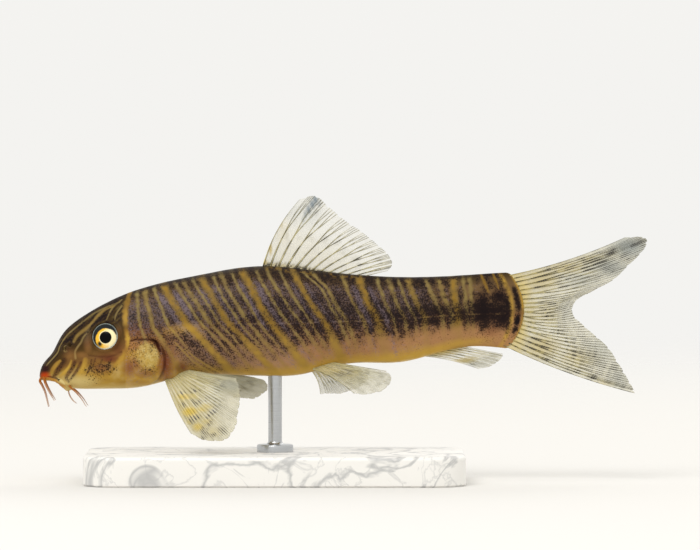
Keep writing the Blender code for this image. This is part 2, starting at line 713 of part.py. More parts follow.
def stand(torso, helpers, parts):
    """A flat base and one rod that stands in it and reaches up into the belly."""
    bpy.ops.mesh.primitive_cube_add(size=1.0, location=(STAND_X * MM, 0, BASE_HEIGHT / 2 * MM))
    base = bpy.context.object
    base.name = "stand_base"
    base.data.transform(Matrix.Diagonal((BASE_LENGTH * MM, BASE_WIDTH * MM, BASE_HEIGHT * MM, 1.0)))
    for home in list(base.users_collection):
        home.objects.unlink(base)
    parts.objects.link(base)
    base.data.transform(base.matrix_world)
    base.matrix_world = Matrix()
    bm = bmesh.new()
    bm.from_mesh(base.data)
    corners = [e for e in bm.edges if abs(e.verts[0].co.z - e.verts[1].co.z) > MM]
    bmesh.ops.bevel(bm, geom=corners, offset=BASE_CORNER * MM, segments=6, affect="EDGES", profile=0.5)
    rims = [e for e in bm.edges if all(v.co.z > (BASE_HEIGHT - 0.01) * MM for v in e.verts)]
    rims = [e for e in rims if any(abs(f.normal.z) < 0.5 for f in e.link_faces)]
    bmesh.ops.bevel(bm, geom=rims, offset=BASE_CHAMFER * MM, segments=2, affect="EDGES", profile=0.5)
    bm.to_mesh(base.data)
    bm.free()

    belly = SNOUT_HEIGHT + bottom_line(ROD_S)
    rod_top = belly + ROD_INTO_BELLY
    seat = BASE_HEIGHT + GAP
    flange_top = seat + ROD_FLANGE_HEIGHT
    peg_end = BASE_HEIGHT - ROD_PEG_DEPTH
    profile = (
        (0.0, rod_top), (ROD_RADIUS, rod_top), (ROD_RADIUS, flange_top + 0.5),
        (ROD_FLANGE_RADIUS * 0.55, flange_top), (ROD_FLANGE_RADIUS, flange_top - 0.2),
        (ROD_FLANGE_RADIUS, seat), (ROD_RADIUS, seat), (ROD_RADIUS, peg_end), (0.0, peg_end),
    )
    turned("stand_rod", profile, parts)
    hole = ROD_RADIUS + GAP
    peg_hole = ((0.0, BASE_HEIGHT + 2), (hole, BASE_HEIGHT + 2), (hole, peg_end - GAP), (0.0, peg_end - GAP))
    boolean(base, "DIFFERENCE", [turned("peg_hole", peg_hole, helpers)])
    socket = ((0.0, rod_top + GAP), (hole, rod_top + GAP), (hole, belly - 2), (0.0, belly - 2))
    boolean(torso, "DIFFERENCE", [turned("belly_socket", socket, helpers)])


def finish_materials(parts):
    kinds = {
        "gill_cover": GILL_GOLD, "eye": EYE, "stand_base": MARBLE, "stand_rod": STEEL,
        "snout_barbels": BARBEL, "corner_barbel": BARBEL, "chin_barbel": BARBEL,
    }
    for obj in parts.objects:
        found = [look for start, look in kinds.items() if obj.name.startswith(start)]
        look = found[0] if found else FIN if "fin" in obj.name else SKIN
        name, colour, roughness, metallic = look
        material = bpy.data.materials.get(name) or bpy.data.materials.new(name)
        material.use_nodes = True
        shader = material.node_tree.nodes["Principled BSDF"]
        shader.inputs["Base Color"].default_value = (*colour, 1.0)
        shader.inputs["Roughness"].default_value = roughness
        shader.inputs["Metallic"].default_value = metallic
        obj.data.materials.clear()
        obj.data.materials.append(material)
        obj.data.shade_smooth()
        obj.data.set_sharp_from_angle(angle=math.radians(35))


def main():
    for obj in list(bpy.data.objects):
        bpy.data.objects.remove(obj)
    parts = bpy.data.collections.new("zebra_loach")
    helpers = bpy.data.collections.new("helpers")
    for collection in (parts, helpers):
        bpy.context.scene.collection.children.link(collection)

    body = body_loft("body", helpers)
    cuts = [cut_sheet("gill_cut", GILL_LINE, helpers), cut_sheet("tail_cut", TAIL_CUT, helpers)]
    boolean(body, "DIFFERENCE", cuts)
    head, torso, _ = split_along_body(body, ("head", "torso", "tail_stalk"), parts)
    cut_gill_recesses(head, helpers)
    head_details(head, helpers)
    for side_name, side in SIDES.items():
        gill_cover(side_name, helpers, parts)
        eyeball(f"eye_{side_name}", side, 0.0, parts)
        paired_fin(
            f"pectoral_fin_{side_name}", side, PECTORAL_RAYS, PECTORAL_ROOT,
            PECTORAL_TIPS[side_name], PECTORAL_BOW[side_name], helpers, parts,
        )
        paired_fin(
            f"pelvic_fin_{side_name}", side, PELVIC_RAYS, PELVIC_ROOT,
            PELVIC_TIPS[side_name], PELVIC_BOW, helpers, parts,
        )
        barbels(side_name, helpers, parts)
    midline_fins(helpers, parts)
    stand(torso, helpers, parts)
    finish_materials(parts)
    bpy.data.collections.remove(helpers)


main()
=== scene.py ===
"""Zebra loach, life size: the painted skin, clear fins, eyes and stand of the display model.

Lengths on the fish are in millimetres: s runs back from the snout, y to the fish's right and h up
from the snout's tip. place() turns them into metres in the model's frame.
"""

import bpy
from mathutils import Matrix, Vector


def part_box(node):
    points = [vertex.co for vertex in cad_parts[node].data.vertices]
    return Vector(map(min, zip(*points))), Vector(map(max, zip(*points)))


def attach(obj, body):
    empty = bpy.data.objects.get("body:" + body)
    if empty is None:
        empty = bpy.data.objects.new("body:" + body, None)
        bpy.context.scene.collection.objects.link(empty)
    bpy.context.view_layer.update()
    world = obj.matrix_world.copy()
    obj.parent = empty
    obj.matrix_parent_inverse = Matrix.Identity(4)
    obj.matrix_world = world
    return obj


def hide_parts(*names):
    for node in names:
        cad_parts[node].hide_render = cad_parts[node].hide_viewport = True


bl_info = {
    "name": "Zebra Loach Display Model",
    "version": (1, 0, 0),
    "blender": (4, 5, 0),
    "location": "View3D > Sidebar > Zebra Loach",
    "description": "Builds the painted surfaces of a life-size zebra loach on its stand",
    "category": "Object",
}

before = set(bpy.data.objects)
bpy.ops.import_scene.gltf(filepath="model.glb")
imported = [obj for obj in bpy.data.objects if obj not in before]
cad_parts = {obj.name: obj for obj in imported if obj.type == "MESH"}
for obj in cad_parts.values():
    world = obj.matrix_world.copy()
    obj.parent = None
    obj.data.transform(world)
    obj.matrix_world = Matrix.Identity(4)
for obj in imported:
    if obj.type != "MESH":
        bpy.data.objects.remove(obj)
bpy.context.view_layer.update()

import math

import bmesh
import bpy
import numpy as np
from bpy.props import FloatProperty, FloatVectorProperty, PointerProperty
from bpy.types import NodeSocket, Operator, Panel, PropertyGroup
from mathutils import Vector

MM = 0.001
SIDES = {"left": -1.0, "right": 1.0}

# Body outline seen from the side and from above: distance behind the snout, then the value there.
BODY_END = 61.3
BACK_HEIGHT = 14.85
TOP_LINE = (
    (0.0, 0.35), (0.43, 1.92), (1.08, 2.75), (1.92, 3.87), (2.47, 4.97), (3.12, 6.05), (4.22, 7.18),
    (7.0, 9.05), (11.6, 11.3), (16.7, 12.8), (22.1, 13.9), (29.3, BACK_HEIGHT), (36.9, 14.2),
    (44.3, 13.55), (53.0, 13.5), (58.5, 13.85), (BODY_END, 14.0),
)
BOTTOM_LINE = (
    (0.0, 0.35), (0.5, -0.2), (1.8, -0.35), (3.2, -0.95), (4.8, -1.25), (7.0, -1.3), (10.3, -1.26),
    (14.2, -0.87), (17.5, 0.0), (21.0, 0.55), (26.7, 0.5), (31.3, 0.4), (35.0, 0.72), (38.2, 1.6),
    (42.5, 2.15), (48.0, 2.3), (52.0, 3.35), (57.0, 4.3), (BODY_END, 4.05),
)
HALF_WIDTHS = (
    (0.0, 0.0), (0.4, 0.95), (1.0, 1.4), (2.0, 1.9), (4.0, 2.55), (8.6, 3.5), (13.0, 4.2), (20.0, 4.7),
    (28.0, 4.65), (36.0, 4.05), (44.0, 3.15), (52.0, 2.25), (58.0, 1.5), (BODY_END, 0.55),
)
# Height of the widest point, as a share of the depth, and how square the halves above and below are.
WIDEST_SHARE = ((0.0, 0.45), (4.0, 0.38), (10.0, 0.4), (20.0, 0.46), (40.0, 0.5), (BODY_END, 0.5))
UPPER_SQUARENESS = ((0.0, 2.0), (8.0, 1.9), (20.0, 2.0), (45.0, 2.15), (BODY_END, 2.3))
LOWER_SQUARENESS = ((0.0, 2.0), (5.0, 2.3), (14.0, 2.4), (30.0, 2.2), (BODY_END, 2.2))
TAIL_ROUNDING = 1.7
TAIL_ROUNDING_STARTS = 55.0

# Rings of the skin: close together over the head, and past the body's end onto the tail fin.
SNOUT_RINGS = 14
HEAD_END = 17.5
HEAD_RING_STEP = 0.09
BODY_RING_STEP = 0.17
CLOSING_RINGS = 6
CLOSING_REACH = 0.75
SKIN_FACETS = 240
SKIN_LENGTH = 63.0

# Forms of the head. Paths with a y are s, y, h, the others s, h, half width; ovals are s, h, half
# length, half height.
EYE_CENTRE = (8.72, 5.75)
EYE_RADIUS = 1.74
EYE_SUNK = 0.5
EYE_RIM_HIDDEN = 0.13
EYE_DOME = 1.05
EYE_RINGS = 64
EYE_FACETS = 128
# Middles of the pupil, the iris's bright disc and its dark spot, back and up from the eye's axis.
PUPIL_AT = (0.22, -0.24)
IRIS_DISC_AT = (0.24, -0.42)
IRIS_SPOT_AT = (-0.55, -1.08)
NOSTRILS = ((3.35, 4.05), (4.1, 4.5))
UPPER_LIP = ((4.3, 1.2, -0.3), (3.6, 1.55, -0.55), (2.7, 1.3, -0.15), (1.75, 0.65, 0.1))
LOWER_LIP = ((4.4, 0.9, -0.7), (3.7, 1.2, -1.0), (3.1, 0.9, -1.02), (2.8, 0.35, -1.0))
MOUTH_LINE = ((4.2, 1.45, -0.95), (3.4, 1.5, -0.85), (2.5, 1.0, -0.62), (2.0, 0.4, -0.5))
CHIN_LOBE = (3.65, 0.52, -1.2)
GILL_OPENING = (
    (14.9, 5.3, 0.16), (15.6, 4.9, 0.16), (16.35, 3.9, 0.16), (16.6, 2.9, 0.16), (16.5, 1.4, 0.16),
    (15.8, 0.0, 0.16), (14.8, -0.9, 0.16), (14.2, -3.0, 0.16),
)
GILL_PLATE = (13.9, 2.85, 2.05, 2.45)
GILL_SLIT = ((12.1, 5.2, 0.08), (13.2, 5.36, 0.1), (14.9, 5.3, 0.12), (15.45, 4.95, 0.2), (16.0, 3.8, 0.12))
EYE_FOLD = ((6.55, 3.22, 0.06), (8.2, 3.05, 0.08), (9.6, 3.15, 0.09), (10.9, 3.7, 0.07))
PECTORAL_BASE = (17.5, 0.45)

# Noise on the right flank is read this far along, so that its specks and edges are its own.
RIGHT_SIDE_SHIFT = 41.0

# Pattern of the skin. Each light line crosses the back at s, has a half width, and is golden to a
# share. The slants are how far back a line moves down to the lateral line, and from there to the
# belly, by where it crosses the back.
LIGHT_LINES = (
    (12.75, 0.2, 0.3), (13.86, 0.32, 0.5), (14.95, 0.2, 0.3), (16.25, 0.58, 1.0), (17.74, 0.2, 0.3),
    (18.88, 0.33, 0.45), (20.06, 0.18, 0.2), (21.25, 0.55, 0.9), (22.67, 0.2, 0.25), (23.78, 0.3, 0.4),
    (25.16, 0.22, 0.3), (26.65, 0.62, 1.0), (28.32, 0.24, 0.3), (29.77, 0.24, 0.35), (31.43, 0.22, 0.25),
    (33.36, 0.52, 0.9), (36.06, 0.22, 0.3), (37.1, 0.3, 0.4), (39.78, 0.24, 0.45), (41.92, 0.62, 1.0),
    (44.32, 0.22, 0.3), (45.77, 0.3, 0.4), (47.11, 0.2, 0.25), (48.36, 0.45, 0.7), (50.86, 0.32, 0.4),
    (52.37, 0.28, 0.5), (54.29, 0.55, 0.9), (55.73, 0.22, 0.4), (56.52, 0.22, 0.4),
)
SLANT = (
    (11.65, 0.0), (13.9, 1.25), (16.2, 3.3), (17.8, 3.8), (26.7, 3.9), (28.5, 4.5), (29.8, 4.6), (33.4, 4.2),
    (36.6, 3.4), (39.8, 2.9), (44.3, 2.3), (50.9, 2.2), (52.4, 1.9), (54.3, 0.7), (58.6, 0.3), (61.0, 0.4),
)
SLANT_BELOW = (
    (11.65, 0.3), (13.9, 3.6), (16.2, 6.2), (21.2, 6.6), (26.7, 5.3), (33.4, 2.8), (41.9, 1.3), (48.4, 0.5),
    (54.0, 0.0), (61.0, 0.2),
)
LATERAL_LINE = (
    (0.0, 0.4), (4.0, 3.4), (8.6, 5.3), (12.5, 6.9), (19.5, 7.3), (44.8, 7.8), (55.6, 8.55), (63.5, 8.7),
)
LATERAL_LINE_STARTS = 19.0
LATERAL_LINE_ENDS = 61.5
# The level of the belly's edge along the body, where the back is 0 and the lateral line is 1.
BELLY_LEVEL = ((0.0, 1.4), (10.0, 1.75), (20.0, 1.95), (45.0, 1.95), (55.0, 1.9), (63.0, 2.0))
# Along the body: how dark the bars are, how far they run over the light lines, and how deep they
# break up and end, where 1 is the lateral line.
BARS_WEIGHT = ((11.0, 0.72), (18.0, 0.78), (28.0, 0.92), (45.0, 1.0), (58.0, 1.05))
LINES_COVERED = ((16.0, 0.1), (26.0, 0.15), (34.0, 0.2), (40.0, 0.35), (54.0, 0.55), (60.0, 0.7))
BARS_THIN = ((12.0, 0.75), (16.0, 0.95), (20.0, 1.15), (32.0, 1.2), (38.0, 1.14), (56.0, 1.08), (62.0, 1.15))
BARS_END = (
    (12.0, 1.6), (16.0, 1.95), (19.5, 2.8), (23.0, 2.9), (26.0, 2.2), (30.0, 2.0), (36.0, 1.8),
    (48.0, 1.65), (56.0, 1.5), (62.0, 1.7),
)

# Two short light lines low on the flank, above the foot of the pectoral fin, as s, h, half width.
LOW_LINES = (
    ((17.9, 5.0, 0.08), (18.96, 3.9, 0.12), (20.3, 2.5, 0.13), (22.0, 1.3, 0.12), (23.0, 0.75, 0.1)),
    ((19.2, 4.1, 0.06), (20.6, 2.95, 0.11), (22.3, 1.8, 0.12), (24.0, 0.8, 0.1)),
)

# Lines of the head as s, h, half width: thin dull ones, golden ones, and the broad bar behind the eye.
HEAD_LINES = (
    ((10.6, 10.2, 0.1), (8.9, 9.5, 0.11), (7.12, 8.63, 0.1), (5.71, 7.53, 0.1), (4.5, 6.57, 0.1),
     (3.59, 5.71, 0.09), (2.79, 4.5, 0.08), (2.49, 3.64, 0.08), (2.08, 3.09, 0.09), (1.22, 2.14, 0.08),
     (0.9, 1.73, 0.06)),
    ((6.3, 6.1, 0.06), (5.86, 5.6, 0.1), (5.57, 4.95, 0.12), (5.11, 4.32, 0.12), (4.78, 3.68, 0.12),
     (4.84, 2.85, 0.14)),
    ((10.9, 9.7, 0.08), (10.2, 8.7, 0.1), (10.0, 7.9, 0.07)),
    ((10.9, 10.5, 0.07), (9.8, 9.6, 0.1), (9.2, 8.6, 0.1), (8.85, 7.8, 0.06)),
    ((3.62, 4.5, 0.05), (3.3, 4.15, 0.07), (3.45, 3.65, 0.08), (3.75, 3.75, 0.05)),
)
HEAD_GOLD_LINES = (
    ((9.9, 9.7, 0.1), (8.7, 9.2, 0.13), (7.96, 8.6, 0.17), (7.37, 7.98, 0.16), (6.86, 7.38, 0.17),
     (6.26, 6.77, 0.2), (5.61, 6.27, 0.2), (5.0, 5.71, 0.19), (4.6, 5.0, 0.16)),
)
EYE_BAR = (
    (11.9, 11.5, 0.3), (11.7, 10.6, 0.34), (11.36, 8.45, 0.42), (11.6, 6.2, 0.3), (11.68, 4.8, 0.28),
    (11.15, 3.3, 0.24), (10.1, 1.84, 0.26), (9.3, 0.7, 0.2),
)
SNOUT_BARS = (
    ((2.78, 2.45, 0.18), (2.3, 2.0, 0.26), (1.85, 1.4, 0.25), (1.62, 0.95, 0.18)),
    ((4.28, 2.5, 0.12), (3.98, 1.73, 0.15), (3.44, 1.05, 0.19), (2.8, 0.37, 0.22)),
    ((6.15, 2.65, 0.3), (5.88, 1.5, 0.3), (5.4, 0.8, 0.34), (4.75, 0.1, 0.3)),
)
SNOUT_DARK_BARS = (
    ((3.35, 2.6, 0.3), (2.89, 1.87, 0.32), (2.45, 1.1, 0.3), (2.0, 0.5, 0.22)),
    ((4.75, 2.3, 0.2), (4.4, 1.5, 0.26), (3.9, 0.8, 0.24), (3.6, 0.2, 0.22), (3.9, -0.25, 0.16)),
    ((5.55, 2.3, 0.16), (5.2, 1.6, 0.2), (4.75, 0.85, 0.2), (4.1, 0.0, 0.16)),
    ((6.95, 2.6, 0.14), (6.8, 1.7, 0.18), (6.4, 0.9, 0.14)),
    ((7.5, 2.9, 0.06), (7.35, 2.5, 0.13), (7.1, 1.7, 0.08)),
    ((8.4, 2.8, 0.06), (8.25, 2.4, 0.13), (7.9, 1.7, 0.08)),
    ((9.6, 2.8, 0.06), (9.3, 2.3, 0.15), (8.8, 1.6, 0.08)),
    ((1.1, 0.38, 0.06), (1.6, 0.33, 0.13), (2.15, 0.2, 0.13), (2.6, -0.05, 0.08)),
)
TAIL_STREAKS = (
    ((58.0, 13.9, 0.14), (58.6, 12.6, 0.2), (59.1, 11.4, 0.1)),
    ((59.6, 14.0, 0.12), (60.2, 12.6, 0.14), (60.4, 11.9, 0.06)),
)
# Soft patches as s, h, half length, half height, strength.
CHEEK_SPECKS = (
    (7.4, 1.2, 1.9, 1.3, 0.8), (9.1, 1.6, 1.5, 1.2, 0.75), (7.6, 0.0, 1.8, 0.9, 0.6),
    (3.75, -0.75, 0.35, 0.35, 0.7), (2.6, 0.0, 0.4, 0.25, 0.6), (12.9, 2.5, 1.1, 1.5, 0.65),
    (14.4, 1.5, 1.6, 0.9, 0.65), (14.2, 3.4, 1.7, 1.7, 0.45),
)
RUST = (
    (10.3, 4.4, 0.9, 1.4, 0.8), (9.3, 2.8, 1.9, 0.9, 1.0), (8.2, 1.7, 2.1, 1.2, 0.8),
    (12.8, 2.2, 1.3, 1.5, 0.75), (13.2, 6.4, 1.4, 1.2, 0.4), (14.0, 1.0, 2.0, 0.9, 0.65),
    (16.7, 2.1, 1.3, 3.2, 0.95), (18.8, 1.6, 1.1, 0.9, 0.85), (59.5, 6.3, 1.2, 0.8, 0.35),
    (12.5, -0.5, 2.8, 0.9, 0.3), (12.0, 1.7, 1.2, 1.7, 0.85),
)
BLOTCHES = (
    (58.3, 10.1, 1.3, 1.8, 1.0), (60.5, 10.9, 1.25, 1.35, 1.0), (60.5, 7.3, 1.4, 1.0, 0.9),
    (57.6, 8.2, 1.3, 1.5, 0.8), (59.2, 9.0, 1.3, 1.0, 0.8), (61.8, 8.8, 0.5, 0.4, 0.8),
)
SHOULDER = ((19.4, 6.8, 2.6, 0.95, 0.95), (17.2, 6.5, 1.2, 0.7, 0.7), (20.9, 6.0, 1.3, 0.7, 0.7))
GLOW = (
    (11.45, 8.2, 0.6, 1.2, 0.6), (11.8, 5.3, 0.6, 1.1, 1.0), (10.7, 2.7, 0.9, 1.2, 0.8),
    (3.4, 1.2, 1.5, 1.6, 1.0), (5.6, 1.2, 1.0, 1.8, 0.95),
)
HEAD_TAN = (
    (6.45, 5.2, 0.65, 1.6, 1.0), (5.6, 3.3, 1.0, 0.5, 0.5), (10.6, 6.6, 0.5, 1.0, 0.5),
    (4.0, 3.4, 1.0, 1.0, 0.6),
)
CHIN_PALE = ((5.2, -0.3, 2.9, 1.0, 0.8),)
RED_SPOT = ((0.8, 0.55, 0.75, 0.5, 0.85),)
FIN_PIT = ((18.75, 1.6, 1.2, 0.95, 0.62),)
# The gold disc of the gill cover, as s, h, half length, half height.
COVER_GOLD = (14.3, 3.3, 1.72, 1.8)
# Where the bars stop ahead of the tail fin, as height and s, and the middle and half height of the
# curve that the skin ends in there.
TAIL_CLEAR = ((4.0, 61.0), (6.0, 61.4), (9.0, 61.7), (12.0, 61.4), (14.0, 60.6))
TAIL_EDGE_MIDDLE = 9.0
TAIL_EDGE_HALF = 4.97
LIP_ORANGE = (
    (1.0, 0.15, 0.14), (1.7, 0.0, 0.16), (2.26, -0.24, 0.18), (2.71, -0.7, 0.14), (3.3, -0.85, 0.18),
)
LIP_PALE = ((2.5, 0.1, 0.08), (2.95, -0.1, 0.14), (3.4, -0.46, 0.08))

